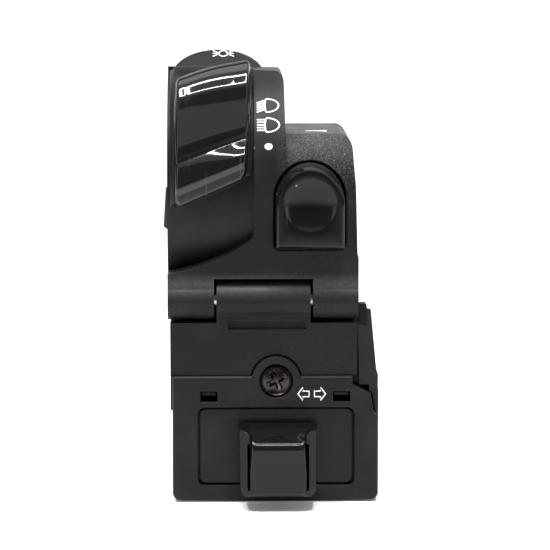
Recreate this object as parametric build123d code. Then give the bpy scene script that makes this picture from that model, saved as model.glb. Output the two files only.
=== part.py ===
from build123d import *

import math
import os

# Handlebar switch cluster for a 22 mm bar. Millimetres. The origin lies on the bar's centre line,
# +X to the rider's right along the bar, +Y away from the rider, +Z up.

# Handlebar clamp
bar_radius = 11.1
saddle_wall = 3.4
half_gap = 0.3
front_y = -22.0
lower_front_y = -21.6
rear_y = 23.0
upper_half_width = 20.1
lower_left_x = -19.6
lower_right_x = 19.9
wall = 2.0
seam = 0.25
run_clearance = 0.3
overrun = 1.0

# Hinge between the two clamp halves
hinge_y = -18.7
hinge_radius = 4.2
hinge_relief = 0.45
hinge_pin_radius = 1.6
pin_clearance = 0.05
knuckle_left_x = -9.8
knuckle_right_x = 10.0
knuckle_gap = 0.5
knuckle_slot_top = 4.75
pin_end_inset = 0.6
pin_end_chamfer = 0.3

# Clamp screws at the far side
screw_x = 12.5
screw_y = 16.4
screw_radius = 2.5
screw_hole_radius = 2.75
screw_grip = 5.4
screw_head_radius = 4.2
screw_head_height = 5.0
screw_engagement = 5.0
screw_key_radius = 2.3
screw_key_depth = 2.6
screw_tip_chamfer = 0.5
washer_radius = 4.8
washer_thickness = 1.0
counterbore_radius = 5.1
lower_boss_z = -12.2
recess_left_x = -7.4
recess_right_x = 9.1
recess_depth = 0.8
recess_low_z = -6.1
insert_radius = 3.9
insert_clearance = 0.55
insert_length = 7.0

# Upper housing
drum_radius = 28.0
drum_y = front_y + drum_radius
drum_z = 22.0
pocket_depth = 1.0
pocket_right_x = -1.9
pocket_top_angle = 71.0
pocket_low_left_z = 5.7
pocket_middle_x = -9.5
pocket_middle_z = 9.0
pocket_low_right_z = 13.3
pocket_corner_radius = 2.6
wedge_low_angle = -70.0
tower_crest_share = 0.9393
tower_crest_z = drum_z + tower_crest_share * drum_radius
tower_right_x = 5.2
tower_right_top_x = 4.6
tower_right_fall = 0.9
tower_top_right_z = tower_crest_z - tower_right_fall
tower_top_fall = 1.3
tower_corner_radius = 2.0
block_top_z = 9.4
block_rear_radius = 2.5
block_top_radius = 1.2
seam_y = 9.5
cover_rear_y = 13.5
shoulder_radius = 20.0
shoulder_bend_z = 20.5
shoulder_crest_z = 34.8
shoulder_top_fall = 0.1
shoulder_taper_z = 24.0
shoulder_taper_x = 19.5
shoulder_top_x = 18.7
shoulder_corner_radius = 3.0
dome_x = -9.3
dome_y = 1.5
dome_sink = 2.0
dome_z = tower_crest_z - dome_sink
dome_radius = 10.0
dome_tilt = 30.0
dome_length = 26.0
dome_edge_radius = 0.5
cover_edge_radius = 1.2

# Light switch rocker
rocker_left_x = -19.5
rocker_right_x = -2.35
rocker_plate_thickness = 1.5
rocker_top_angle = 68.5
rocker_low_left_angle = -5.2
rocker_low_right_angle = 10.4
rocker_edge_chamfer = 0.8
rocker_top_round = 2.0
pad_left_x = -18.0
pad_right_x = -3.3
pad_top_left_angle = 53.0
pad_top_right_angle = 64.5
pad_low_left_angle = -0.8
pad_low_right_angle = 13.0
pad_height = 4.0
pad_along_left_shares = (0.0, 0.09, 0.20, 0.33, 0.58, 0.72, 0.86, 1.0)
pad_along_right_shares = (0.0, 0.14, 0.29, 0.42, 0.66, 0.79, 0.90, 1.0)
pad_height_shares = (0.16, 0.56, 0.72, 0.34, 0.62, 1.0, 0.62, 0.16)
arm_x = -10.8
arm_thickness = 3.5
arm_angle = 29.0
arm_half_angle = 4.0
arm_width = 3.8
hub_radius = 3.2
pivot_radius = 1.5
rocker_travel_angle = 16.6
light_positions = 3
arm_slot_margin_angle = 2.6
arm_slot_side = 0.6
cheek_thickness = 1.0
cheek_gap = 0.7
cheek_foot = 4.4
cheek_round = 2.4
pivot_pin_end = 0.4
bracket_front_y = 1.5
bracket_rear_y = 11.2
bracket_floor_z = 14.8
bracket_floor_thickness = 1.5
detent_plate_inner = 17.0
detent_plate_outer = 23.0
detent_radius = 20.0
detent_plate_thickness = 0.9
detent_gap = 0.4
detent_bore_depth = 3.1
detent_spring_turns = 2
leaf_foot_width = 4.0
ball_radius = 1.0
ball_clearance = 0.05
ball_bore_clearance = 0.1
dimple_radius = 0.8
dimple_depth = 0.3
spring_wire_radius = 0.15
spring_wire_sides = 4
spring_seat_gap = 0.1
spring_pocket_clearance = 0.3
wiper_thickness = 0.4
wiper_inner = 8.0
wiper_outer = 16.0
wiper_half_angle = 3.0
contact_gap = 0.1
contact_board_inner = 7.0
contact_board_outer = 19.0

# Horn button
horn_x = 9.83
horn_half_width = 7.64
horn_low_z = 10.8
horn_spring_line_z = 21.9
horn_corner_radius = 1.2
horn_clearance = 0.4
collar_wall = 1.3
collar_rear_y = -14.4
button_front_y = -25.6
button_crown_z = 27.3
button_crown_depth = 5.0
button_rear_y = -12.9
button_flange = 0.9
button_flange_thickness = 1.2
button_flange_right_x = 17.1
button_wall = 1.8
button_face_thickness = 3.4
button_edge_radius = 1.0
dish_radius = 14.0
dish_depth = 1.15
dish_z = 20.6
button_stem_radius = 1.5
button_stem_end_y = -10.9
horn_spring_radius = 2.9
horn_spring_wire = 0.35
horn_spring_turns = 3
contact_plate_radius = 2.6
contact_plate_thickness = 0.4
horn_base_front_y = -8.0
horn_base_rear_y = -3.4
horn_base_half_width = 5.6
horn_base_low_z = 14.5
horn_base_top_z = 27.0
horn_contact_radius = 0.9
horn_contact_height = 0.4
horn_contact_spread = 1.6

# Circuit board behind the upper switches
board_thickness = 1.6
board_left_x = -4.4
board_right_x = 15.4
board_low_z = 15.0
board_top_z = 30.4
board_corner = 1.0
board_post_radius = 2.0
board_post_left_x = -1.6
board_post_right_x = 13.0
board_post_z = 28.0

# Rear cover fixings
cover_boss_radius = 2.1
cover_boss_start_y = 0.5
cover_screw_radius = 0.9
cover_screw_clearance = 0.15
cover_screw_length = 9.0
cover_screw_head_radius = 1.9
cover_screw_head_height = 1.3
cover_screw_head_clearance = 0.25
cover_screw_sink = 1.5
cover_screw_places = ((1.0, 42.0), (16.0, 13.2), (-16.4, 38.0))

# Passing light trigger
trigger_pivot_x = -3.0
trigger_pivot_y = 17.0
trigger_pin_radius = 1.0
trigger_hub_radius = 2.1
trigger_low_z = 10.2
trigger_top_z = 19.8
trigger_hub_low_z = 12.3
trigger_tip_x = -21.8
trigger_tip_taper = 0.6
trigger_tip_round = 0.8
trigger_tip_point = (-21.9, 22.6)
trigger_outer_points = ((-10.0, 19.2), (-16.0, 20.3), (-20.9, 23.0))
trigger_inner_points = ((-21.6, 21.4), (-16.5, 17.7), (-10.0, 16.1))
lug_radius = 2.4
lug_thickness = 1.9
lug_low_z = 10.2
lug_top_z = 20.1
trigger_nub_x = -5.8
trigger_nub_y = 14.45
trigger_nub_half_width = 0.8
trigger_nub_low_z = 15.2
trigger_nub_top_z = 17.2
trigger_nub_middle_z = (trigger_nub_low_z + trigger_nub_top_z) / 2
trigger_spring_z = 14.0
trigger_spring_wire = 0.25
trigger_spring_turns = 3
trigger_spring_room = 3.0
plunger_radius = 1.0
plunger_end_y = 14.0
plunger_hole_clearance = 0.2
microswitch_width = 6.2
microswitch_offset = -1.7
microswitch_front_y = 7.4
microswitch_rear_y = 11.2
microswitch_low_z = 13.0
microswitch_top_z = 19.4

# Turn signal module
module_left_x = -19.2
module_shell_left_x = -19.6
module_right_x = 24.4
module_top_z = -15.9
module_low_z = -42.6
module_belly = 0.35
module_corner_radius = 1.6
module_front_y = -22.5
module_plate_thickness = 2.2
module_skirt_y = -13.8
module_rear_y = 10.9
module_step_z = -23.8
module_edge_radius = 0.7
corner_cut_x = 18.96
corner_cut_z = -17.76
corner_cut_low_x = 22.77
corner_cut_low_z = -19.7
corner_cut_tip_x = 23.5
cover_boss_x = 2.75
cover_boss_z = -16.9
cover_lug_radius = 5.15
cover_lug_gap = 0.3
cover_screw_recess_radius = 3.6
cover_screw_recess_depth = 1.6
main_screw_head_radius = 3.2
main_screw_head_height = 1.9
main_screw_head_round = 0.7
main_screw_radius = 1.6
main_screw_recess = 0.9
main_screw_recess_width = 0.8
main_screw_recess_length = 3.4
main_screw_post_radius = 3.4
screw_post_end_y = -9.0
window_left_x = -13.8
window_right_x = 19.3
window_top_z = -22.6
window_low_z = -39.4
window_corner_radius = 1.4
window_gap = 0.4
window_plate_front_y = -21.7
latch_width = 3.6
latch_top_z = -19.16
latch_low_z = -21.4
latch_left_x = -11.45
latch_right_x = 16.55
latch_tongue_share = 0.45
latch_tongue_front_y = -21.4

# Ear at the right of the clamp that guides the leads
ear_left_x = 20.25
ear_front_y = -21.6
ear_ramp_left_z = -16.3
ear_ramp_right_z = -18.6
ear_top_z = -2.6
ear_top_y = -12.6
ear_top_x = 23.2
ear_side_drop = 0.9
ear_bar_clearance = 0.4
post_left_x = 20.5
post_width = 1.75
post_front_y = -14.8
post_depth = 3.0
post_top_z = -1.6
post_foot_z = -12.0

# Turn signal switch inside the module
switch_base_margin = 0.9
switch_base_rear_y = -9.2
track_top_z = -24.8
track_low_z = -37.2
track_middle_z = (track_top_z + track_low_z) / 2
slider_clearance = 0.15
slider_half_width = 10.5
slider_front_gap = 0.4
slider_rear_y = -10.2
slider_end_gap = 0.4
turn_travel = 4.0
notch_radius = 0.9
notch_depth = 0.35
notch_start = 2.0
notch_length = 3.0
turn_board_thickness = 1.6
turn_contact_half_width = 7.0
turn_contact_height = 6.0
turn_contact_thickness = 0.5
return_spring_radius = 2.2
return_spring_wire = 0.3
return_spring_turns = 3
return_spring_y = -15.0
return_pocket_depth = 4.0
turn_ball_y = -16.8
turn_ball_bore_depth = 3.6
shell_post_radius = 2.0
shell_post_inset = 3.4

# Turn signal knob
knob_x = 3.0
knob_base_half_width = 8.4
knob_front_half_width = 6.0
knob_base_top_z = -25.7
knob_base_low_z = -40.2
knob_front_top_z = -28.4
knob_front_low_z = -39.7
knob_base_y = -24.0
knob_front_y = -33.0
knob_corner_chamfer = 1.5
knob_top_chamfer = 0.9
knob_low_chamfer = 1.5
knob_groove_width = 0.5
knob_groove_depth = 0.6
knob_groove_inset = 1.1
stem_half_width = 2.0
stem_half_height = 2.7
stem_z = -31.5
stem_end_y = -14.6
stem_slot_clearance = 0.3
push_spring_radius = 1.4
push_spring_wire = 0.25
push_spring_turns = 3
push_pocket_end_y = -12.0

# Cable gland in the module's right wall
gland_y = 3.0
gland_z = -23.4
gland_bore_radius = 3.4
gland_radius = 4.4
gland_lip_radius = 5.2
gland_lip_thickness = 1.0
gland_inner_x = 20.8
gland_outer_x = 25.1
gland_clearance = 0.05

# Screws that hold the module to the lower clamp half
module_screw_radius = 1.2
module_screw_x = 15.0
module_screw_y = -15.8
module_screw_length = 8.0
module_screw_head_radius = 2.1
module_screw_head_height = 1.4



def side_plane(x):
    """Sketch plane across the bar at x: its own x runs to +Y and its own y runs up."""
    return Plane(origin=(x, 0, 0), x_dir=(0, 1, 0), z_dir=(1, 0, 0))


def front_plane(y):
    """Sketch plane facing the rider at y: its own x runs to +X and its own y runs up."""
    return Plane(origin=(0, y, 0), x_dir=(1, 0, 0), z_dir=(0, -1, 0))


def side_prism(sketch, x_low, x_high):
    """Solid of a side profile between two stations along the bar."""
    return extrude(side_plane(x_low) * sketch, amount=x_high - x_low)


def front_prism(sketch, y_low, y_high):
    """Solid of a front outline between two depths."""
    return extrude(front_plane(y_high) * sketch, amount=y_high - y_low)


def block(x_low, x_high, y_low, y_high, z_low, z_high):
    """Plain block between six planes."""
    place = Pos((x_low + x_high) / 2, (y_low + y_high) / 2, (z_low + z_high) / 2)
    return place * Box(x_high - x_low, y_high - y_low, z_high - z_low)


def rod_x(radius, x_low, x_high, y, z):
    """Round rod along the bar."""
    return extrude(side_plane(x_low) * Pos(y, z) * Circle(radius), amount=x_high - x_low)


def rod_y(radius, x, y_low, y_high, z):
    """Round rod away from the rider."""
    return extrude(front_plane(y_high) * Pos(x, z) * Circle(radius), amount=y_high - y_low)


def rod_z(radius, x, y, z_low, z_high):
    """Upright round rod."""
    return extrude(Plane.XY.offset(z_low) * Pos(x, y) * Circle(radius), amount=z_high - z_low)


def polygon(*points):
    """Face inside straight lines through the points."""
    return make_face(Polyline(*points, close=True))


def drum_point(radius, angle):
    """Point of a side profile at an angle above the rider's side of the drum's axis."""
    turn = math.radians(angle)
    return (drum_y - radius * math.cos(turn), drum_z + radius * math.sin(turn))


def drum_sector(inner, outer, low_angle, high_angle):
    """Side profile between two radii and two angles about the drum's axis."""
    middle = (low_angle + high_angle) / 2
    edges = [
        Line(drum_point(inner, low_angle), drum_point(outer, low_angle)),
        ThreePointArc(drum_point(outer, low_angle), drum_point(outer, middle),
                      drum_point(outer, high_angle)),
        Line(drum_point(outer, high_angle), drum_point(inner, high_angle)),
        ThreePointArc(drum_point(inner, high_angle), drum_point(inner, middle),
                      drum_point(inner, low_angle)),
    ]
    return make_face(Curve() + edges)


def drum_wedge(left_x, right_x, left_angle, right_angle):
    """Everything below a slanted edge across the drum, from one angle at the left to one at the right."""
    near = drum_radius - 2 * wall - pocket_depth
    far = drum_radius + 2 * pad_height
    left = side_plane(left_x) * drum_sector(near, far, wedge_low_angle, left_angle)
    right = side_plane(right_x) * drum_sector(near, far, wedge_low_angle, right_angle)
    return loft([left, right], ruled=True)


def drum_edge(solid, x, angle):
    """The radial edge of a curved plate nearest to a station and an angle on the drum."""
    y, z = drum_point(drum_radius, angle)
    radial = solid.edges().filter_by(lambda edge: edge.bounding_box().size.X < seam)
    return radial.sort_by_distance((x, y, z))[0]


def coil(radius, wire, length, turns):
    """Open coil spring that stands on the XY plane, from its first wire to its last."""
    rise = length - 2 * wire
    path = Helix(pitch=rise / turns, height=rise, radius=radius)
    start = Plane(origin=path @ 0, z_dir=path % 0)
    return Pos(0, 0, wire) * sweep(start * RegularPolygon(wire, spring_wire_sides), path=path,
                                   is_frenet=True)


def rear_corners():
    """What the rounded upright rear corners of the upper housing leave out at both sides."""
    centre_y = cover_rear_y - cover_edge_radius
    middle = upper_half_width - cover_edge_radius
    side = polygon((middle, centre_y), (2 * upper_half_width, centre_y), (2 * upper_half_width, rear_y),
                   (middle, rear_y)) - Pos(middle, centre_y) * Circle(cover_edge_radius)
    right = extrude(Plane.XY * side, amount=tower_crest_z + dome_radius)
    return right + mirror(right, about=Plane.YZ)


def tower_profile(inset, floor_radius):
    """Side profile of the tower behind the light switch, drawn in by the inset."""
    top = tower_crest_z - inset
    crest_angle = math.degrees(math.asin((top - drum_z) / floor_radius))
    front = drum_y - floor_radius
    rear = cover_rear_y - inset
    crest = drum_point(floor_radius, crest_angle)
    edges = [
        Line((front, half_gap), (front, drum_z)),
        ThreePointArc((front, drum_z), drum_point(floor_radius, crest_angle / 2), crest),
        Line(crest, (rear, top - tower_top_fall)),
        Line((rear, top - tower_top_fall), (rear, half_gap)),
        Line((rear, half_gap), (front, half_gap)),
    ]
    face = make_face(Curve() + edges)
    return fillet(face.vertices().sort_by(Axis.X)[-2:].sort_by(Axis.Y)[-1], cover_edge_radius)


def tower_outline(inset):
    """Front outline of the tower, drawn in by the inset."""
    left = inset - upper_half_width
    face = polygon(
        (left, half_gap),
        (tower_right_x - inset, half_gap),
        (tower_right_top_x - inset, tower_top_right_z - inset),
        (left, tower_crest_z - inset),
    )
    return fillet(face.vertices().group_by(Axis.Y)[1:][0], tower_corner_radius)


def tower(inset, floor_radius):
    """The tower as one solid: its front outline and its side profile in common."""
    solid = front_prism(tower_outline(inset), front_y - overrun, cover_rear_y)
    return solid & side_prism(tower_profile(inset, floor_radius), -upper_half_width - overrun,
                              upper_half_width)


def shoulder_profile(inset):
    """Side profile of the shoulder round the horn button, drawn in by the inset."""
    radius = shoulder_radius - inset
    front = front_y + inset
    top = shoulder_crest_z - inset
    rear = cover_rear_y - inset
    rise = top - shoulder_bend_z
    centre_y = front + radius
    crest = (centre_y - math.sqrt(radius ** 2 - rise ** 2), top)
    half_turn = math.asin(rise / radius) / 2
    middle = (centre_y - radius * math.cos(half_turn), shoulder_bend_z + radius * math.sin(half_turn))
    edges = [
        Line((front, half_gap), (front, shoulder_bend_z)),
        ThreePointArc((front, shoulder_bend_z), middle, crest),
        Line(crest, (rear, top - shoulder_top_fall)),
        Line((rear, top - shoulder_top_fall), (rear, half_gap)),
        Line((rear, half_gap), (front, half_gap)),
    ]
    face = make_face(Curve() + edges)
    return fillet(face.vertices().sort_by(Axis.X)[-2:].sort_by(Axis.Y)[-1], cover_edge_radius)


def shoulder_outline(inset):
    """Front outline of the shoulder, drawn in by the inset."""
    left = pocket_right_x + wall - inset
    top = shoulder_crest_z - inset
    face = polygon(
        (left, half_gap),
        (upper_half_width - inset, half_gap),
        (shoulder_taper_x - inset, shoulder_taper_z),
        (shoulder_top_x - inset, top),
        (left, top),
    )
    corner = face.vertices().sort_by_distance((shoulder_top_x - inset, top))[0]
    return fillet(corner, shoulder_corner_radius)


def shoulder(inset):
    """The shoulder as one solid: its front outline and its side profile in common."""
    solid = front_prism(shoulder_outline(inset), front_y - overrun, cover_rear_y)
    return solid & side_prism(shoulder_profile(inset), -upper_half_width, upper_half_width + overrun)


def dome():
    """Round cap that leans towards the rider above the light switch."""
    lean = math.radians(dome_tilt)
    face = Plane(origin=(dome_x, dome_y, dome_z), x_dir=(1, 0, 0),
                 z_dir=(0, -math.sin(lean), math.cos(lean)))
    cap = extrude(face * Circle(dome_radius), amount=-dome_length)
    cap = fillet(cap.edges().filter_by(GeomType.CIRCLE).sort_by(Axis.Z)[-1], dome_edge_radius)
    root = tower_crest_z - wall + seam
    return cap & block(-upper_half_width, tower_right_x, front_y, cover_rear_y, root, dome_z + dome_radius)


def upper_form():
    """Outer form of the upper housing and its rear cover in one piece."""
    return tower(0, drum_radius) + shoulder(0) + dome() - rear_corners()


def upper_rooms(floor_z):
    """Rooms inside the tower and the shoulder, above the floor and clear of the saddle over the bar."""
    limit = block(-upper_half_width, upper_half_width, front_y, cover_rear_y, floor_z, tower_crest_z)
    saddle = rod_x(bar_radius + saddle_wall, -upper_half_width, upper_half_width, 0, 0)
    drum_room = drum_radius - pocket_depth - wall
    behind_drum = rod_x(drum_room, -upper_half_width, upper_half_width, drum_y, drum_z)
    forms = (tower(wall, drum_room) & behind_drum, shoulder(wall))
    return [(form & limit) - saddle for form in forms]


def horn_face(grow):
    """Outline of the horn button's window, upright sides under a round arch, made larger by grow."""
    half = horn_half_width + grow
    low = horn_low_z - grow
    left = horn_x - half
    right = horn_x + half
    edges = [
        Line((left, horn_spring_line_z), (left, low)),
        Line((left, low), (right, low)),
        Line((right, low), (right, horn_spring_line_z)),
        ThreePointArc((right, horn_spring_line_z), (horn_x, horn_spring_line_z + half),
                      (left, horn_spring_line_z)),
    ]
    face = make_face(Curve() + edges)
    return fillet(face.vertices().group_by(Axis.Y)[0], horn_corner_radius)


def pocket_outline():
    """Front outline of the rocker's recess, open at the left, with a curved low edge and a round corner."""
    left = -upper_half_width - overrun
    top = drum_z + drum_radius
    edges = [
        Line((left, top), (left, pocket_low_left_z)),
        ThreePointArc((left, pocket_low_left_z), (pocket_middle_x, pocket_middle_z),
                      (pocket_right_x, pocket_low_right_z)),
        Line((pocket_right_x, pocket_low_right_z), (pocket_right_x, top)),
        Line((pocket_right_x, top), (left, top)),
    ]
    face = make_face(Curve() + edges)
    corner = face.vertices().group_by(Axis.X)[-1].sort_by(Axis.Y)[0]
    return fillet(corner, pocket_corner_radius)


def rocker_pocket():
    """Shallow recess that the rocker slides in, with a level ledge under it."""
    floor = drum_radius - pocket_depth
    recess = side_prism(drum_sector(floor, 2 * drum_radius, wedge_low_angle, pocket_top_angle),
                        -upper_half_width - overrun, pocket_right_x)
    return recess & front_prism(pocket_outline(), 2 * front_y, seam_y)


def arm_slot():
    """Slot through the drum's wall for the rocker's arm over its whole travel."""
    half = arm_thickness / 2 + arm_slot_side
    floor = drum_radius - pocket_depth
    low = arm_angle - arm_half_angle - rocker_travel_angle - arm_slot_margin_angle
    high = arm_angle + arm_half_angle + arm_slot_margin_angle
    return side_prism(drum_sector(floor - 2 * wall, floor + overrun, low, high), arm_x - half, arm_x + half)


def saddle_block():
    """Block over the bar that carries the outer knuckles and takes the clamp screws."""
    solid = block(-upper_half_width, upper_half_width, front_y, rear_y, half_gap, block_top_z)
    solid = fillet(solid.edges().filter_by(Axis.Z).group_by(Axis.Y)[-1], block_rear_radius)
    return fillet(solid.faces().filter_by(Axis.Z)[-1].edges().group_by(Axis.Y)[-1], block_top_radius)


def upper_housing():
    """Upper housing: the saddle, the outer knuckles and the shell that carries the upper switches."""
    left_knuckle = (-upper_half_width, knuckle_left_x - knuckle_gap)
    right_knuckle = (knuckle_right_x + knuckle_gap, upper_half_width)
    shell = upper_form() & block(-upper_half_width, upper_half_width, front_y, seam_y, half_gap,
                                 2 * tower_crest_z)
    collar = front_prism(horn_face(collar_wall), front_y + wall, collar_rear_y)
    bosses = [rod_y(cover_boss_radius, x, cover_boss_start_y, seam_y, z) for x, z in cover_screw_places]
    solid = shell
    for room in upper_rooms(block_top_z):
        solid -= room
    for inner in [collar] + bosses:
        solid += inner & upper_form()
    solid += saddle_block()
    for low, high in (left_knuckle, right_knuckle):
        solid += rod_x(hinge_radius, low, high, hinge_y, 0)
    solid -= rocker_pocket()
    solid -= arm_slot()
    solid -= front_prism(horn_face(0), front_y - overrun, collar_rear_y + overrun)
    solid -= rod_x(bar_radius, -2 * upper_half_width, 2 * upper_half_width, 0, 0)
    solid -= rod_x(hinge_pin_radius + pin_clearance, -2 * upper_half_width, 2 * upper_half_width, hinge_y, 0)
    slot_rear = hinge_y + hinge_radius + hinge_relief
    solid -= block(left_knuckle[1], right_knuckle[0], front_y - overrun, slot_rear, -hinge_radius,
                   knuckle_slot_top)
    for x, z in cover_screw_places:
        solid -= rod_y(cover_screw_radius, x, cover_rear_y - cover_screw_length, seam_y + overrun, z)
    for x in (-screw_x, screw_x):
        solid -= rod_z(insert_radius + pin_clearance, x, screw_y, 0, half_gap + insert_length)
    return solid


def rear_cover():
    """Tray that closes the upper housing and carries the passing trigger and the circuit board."""
    low = block_top_z + seam
    solid = upper_form() & block(-upper_half_width, upper_half_width, seam_y + seam, cover_rear_y,
                                 low, 2 * tower_crest_z)
    for room in upper_rooms(low + wall):
        solid -= room
    for z in (lug_low_z, lug_top_z):
        lug = Pos(trigger_pivot_x, trigger_pivot_y) * Circle(lug_radius)
        foot = Pos(trigger_pivot_x, (trigger_pivot_y + cover_rear_y) / 2) * Rectangle(
            2 * lug_radius, trigger_pivot_y - cover_rear_y)
        solid += extrude(Plane.XY.offset(z) * (lug + foot), amount=lug_thickness)
        solid -= rod_z(trigger_pin_radius, trigger_pivot_x, trigger_pivot_y, z, z + lug_thickness)
    for x in (board_post_left_x, board_post_right_x):
        start = horn_base_rear_y + board_thickness
        solid += rod_y(board_post_radius, x, start, cover_rear_y - wall, board_post_z)
    for x, z in cover_screw_places:
        solid += rod_y(cover_boss_radius, x, seam_y + seam, cover_rear_y, z)
        solid -= rod_y(cover_screw_radius + cover_screw_clearance, x, seam_y, cover_rear_y, z)
        solid -= rod_y(cover_screw_head_radius + cover_screw_head_clearance, x,
                       cover_rear_y - cover_screw_sink, cover_rear_y + overrun, z)
    plunger_hole = plunger_radius + plunger_hole_clearance
    return solid - rod_y(plunger_hole, trigger_nub_x, seam_y, cover_rear_y + overrun, trigger_nub_middle_z)


def rear_cover_screws():
    """Three pan head screws that hold the rear cover."""
    screws = []
    seat = cover_rear_y - cover_screw_sink
    for x, z in cover_screw_places:
        head = rod_y(cover_screw_head_radius, x, seat, seat + cover_screw_head_height, z)
        screws.append(head + rod_y(cover_screw_radius, x, cover_rear_y - cover_screw_length, seat, z))
    return Compound(children=screws)


def clamp_inserts():
    """Two brass inserts in the upper half that take the clamp screws."""
    inserts = []
    for x in (-screw_x, screw_x):
        body = rod_z(insert_radius, x, screw_y, half_gap, half_gap + insert_length)
        inserts.append(body - rod_z(screw_radius + insert_clearance, x, screw_y, 0,
                                    half_gap + insert_length))
    return Compound(children=inserts)


def hinge_pin():
    """Steel pin through the three knuckles."""
    end = upper_half_width - pin_end_inset
    pin = rod_x(hinge_pin_radius, -end, end, hinge_y, 0)
    return chamfer(pin.edges().filter_by(GeomType.CIRCLE), pin_end_chamfer)


def light_rocker_frame():
    """Curved carrier of the light switch rocker with its arm and hub."""
    inner = drum_radius - pocket_depth + seam
    outer = inner + rocker_plate_thickness
    plate = side_prism(drum_sector(inner, outer, wedge_low_angle, rocker_top_angle), rocker_left_x,
                       rocker_right_x)
    plate -= drum_wedge(rocker_left_x - overrun, rocker_right_x + overrun,
                        rocker_low_left_angle, rocker_low_right_angle)
    for x in (rocker_left_x, rocker_right_x):
        plate = fillet(drum_edge(plate, x, rocker_top_angle), rocker_top_round)
    rim = plate.faces().filter_by(GeomType.CYLINDER).sort_by(SortBy.AREA)[-1]
    plate = chamfer(rim.edges(), rocker_edge_chamfer)
    turn = Pos(drum_y, drum_z) * Rot(0, 0, 180 - arm_angle)
    reach = Rectangle(inner + rocker_plate_thickness / 2, arm_width, align=(Align.MIN, Align.CENTER))
    arm = side_prism(turn * reach, arm_x - arm_thickness / 2, arm_x + arm_thickness / 2)
    hub_half = arm_thickness / 2 + cheek_gap - run_clearance
    solid = plate + arm + rod_x(hub_radius, arm_x - hub_half, arm_x + hub_half, drum_y, drum_z)
    solid -= rod_x(pivot_radius + pin_clearance, -upper_half_width, 0, drum_y, drum_z)
    y, z = drum_point(detent_radius, arm_angle)
    right = arm_x + arm_thickness / 2
    return solid - rod_x(ball_radius + ball_bore_clearance, right - detent_bore_depth, right + overrun, y, z)


def pad_section(x, top_angle, low_angle, along_shares):
    """Side profile of the thumb pad at one end: two swells with a hollow between them."""
    seat = drum_radius - pocket_depth + seam + rocker_plate_thickness
    angles = [top_angle + share * (low_angle - top_angle) for share in along_shares]
    heights = [seat + pad_height * share for share in pad_height_shares]
    crest = [drum_point(height, angle) for height, angle in zip(heights, angles)]
    root = seat - rocker_plate_thickness / 2
    middle = (top_angle + low_angle) / 2
    edges = [
        Line(drum_point(root, top_angle), crest[0]),
        Spline(*crest),
        Line(crest[-1], drum_point(root, low_angle)),
        ThreePointArc(drum_point(root, low_angle), drum_point(root, middle), drum_point(root, top_angle)),
    ]
    return side_plane(x) * make_face(Curve() + edges)


def light_rocker_pad():
    """Glossy thumb pad on the rocker, its swells slanting across it."""
    left = pad_section(pad_left_x, pad_top_left_angle, pad_low_left_angle, pad_along_left_shares)
    right = pad_section(pad_right_x, pad_top_right_angle, pad_low_right_angle, pad_along_right_shares)
    seat = drum_radius - pocket_depth + seam + rocker_plate_thickness
    return loft([left, right], ruled=True) - rod_x(seat, -upper_half_width, 0, drum_y, drum_z)


def light_detent_ball():
    """Ball that clicks past the dimples of the detent plate."""
    y, z = drum_point(detent_radius, arm_angle)
    x = arm_x + arm_thickness / 2 + detent_gap - ball_clearance - ball_radius
    return Pos(x, y, z) * Sphere(ball_radius)


def light_detent_spring():
    """Coil spring behind the detent ball in the rocker's arm."""
    y, z = drum_point(detent_radius, arm_angle)
    right = arm_x + arm_thickness / 2
    start = right - detent_bore_depth
    length = right + detent_gap - ball_clearance - 2 * ball_radius - start
    return Pos(start, y, z) * Rot(0, 90, 0) * coil(ball_radius - spring_wire_radius, spring_wire_radius,
                                                   length, detent_spring_turns)


def light_contact_wiper():
    """Brass wiper on the left face of the rocker's arm."""
    face = drum_sector(wiper_inner, wiper_outer, arm_angle - wiper_half_angle, arm_angle + wiper_half_angle)
    left = arm_x - arm_thickness / 2
    return side_prism(face, left - wiper_thickness, left)


def switch_leaf(inner, outer, x_low, x_high):
    """Upright leaf beside the rocker's arm, a curved track on a foot that stands on the bracket."""
    low = arm_angle - arm_half_angle - rocker_travel_angle - arm_slot_margin_angle
    high = arm_angle + arm_half_angle + arm_slot_margin_angle
    track = side_prism(drum_sector(inner, outer, low, high), x_low, x_high)
    front = drum_y - outer * math.cos(math.radians(low))
    foot_top = drum_z + outer * math.sin(math.radians(low))
    foot = block(x_low, x_high, front, front + leaf_foot_width,
                 bracket_floor_z + bracket_floor_thickness, foot_top)
    return track + foot


def light_detent_plate():
    """Steel leaf with one dimple for each position of the light switch."""
    left = arm_x + arm_thickness / 2 + detent_gap
    solid = switch_leaf(detent_plate_inner, detent_plate_outer, left, left + detent_plate_thickness)
    for step in range(light_positions):
        y, z = drum_point(detent_radius, arm_angle - step * rocker_travel_angle / (light_positions - 1))
        solid -= rod_x(dimple_radius, left - overrun, left + dimple_depth, y, z)
    return solid


def light_contact_board():
    """Leaf with the fixed contacts of the light switch."""
    right = arm_x - arm_thickness / 2 - wiper_thickness - contact_gap
    return switch_leaf(contact_board_inner, contact_board_outer, right - cheek_thickness, right)


def light_switch_bracket():
    """Bracket on the saddle that holds the rocker's pivot pin between two cheeks."""
    half = arm_thickness / 2 + cheek_gap
    top = bracket_floor_z + bracket_floor_thickness
    left = arm_x - half - cheek_thickness
    right = arm_x + half + cheek_thickness
    solid = block(left, right, bracket_front_y, bracket_rear_y, bracket_floor_z, top)
    cheek = polygon((drum_y - cheek_foot, bracket_floor_z), (drum_y + cheek_foot, bracket_floor_z),
                    (drum_y + hub_radius, drum_z + hub_radius), (drum_y - hub_radius, drum_z + hub_radius))
    cheek = fillet(cheek.vertices().group_by(Axis.Y)[-1], cheek_round)
    solid += side_prism(cheek, left, left + cheek_thickness)
    solid += side_prism(cheek, right - cheek_thickness, right)
    return solid - rod_x(pivot_radius + pin_clearance, left - overrun, right + overrun, drum_y, drum_z)


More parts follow.
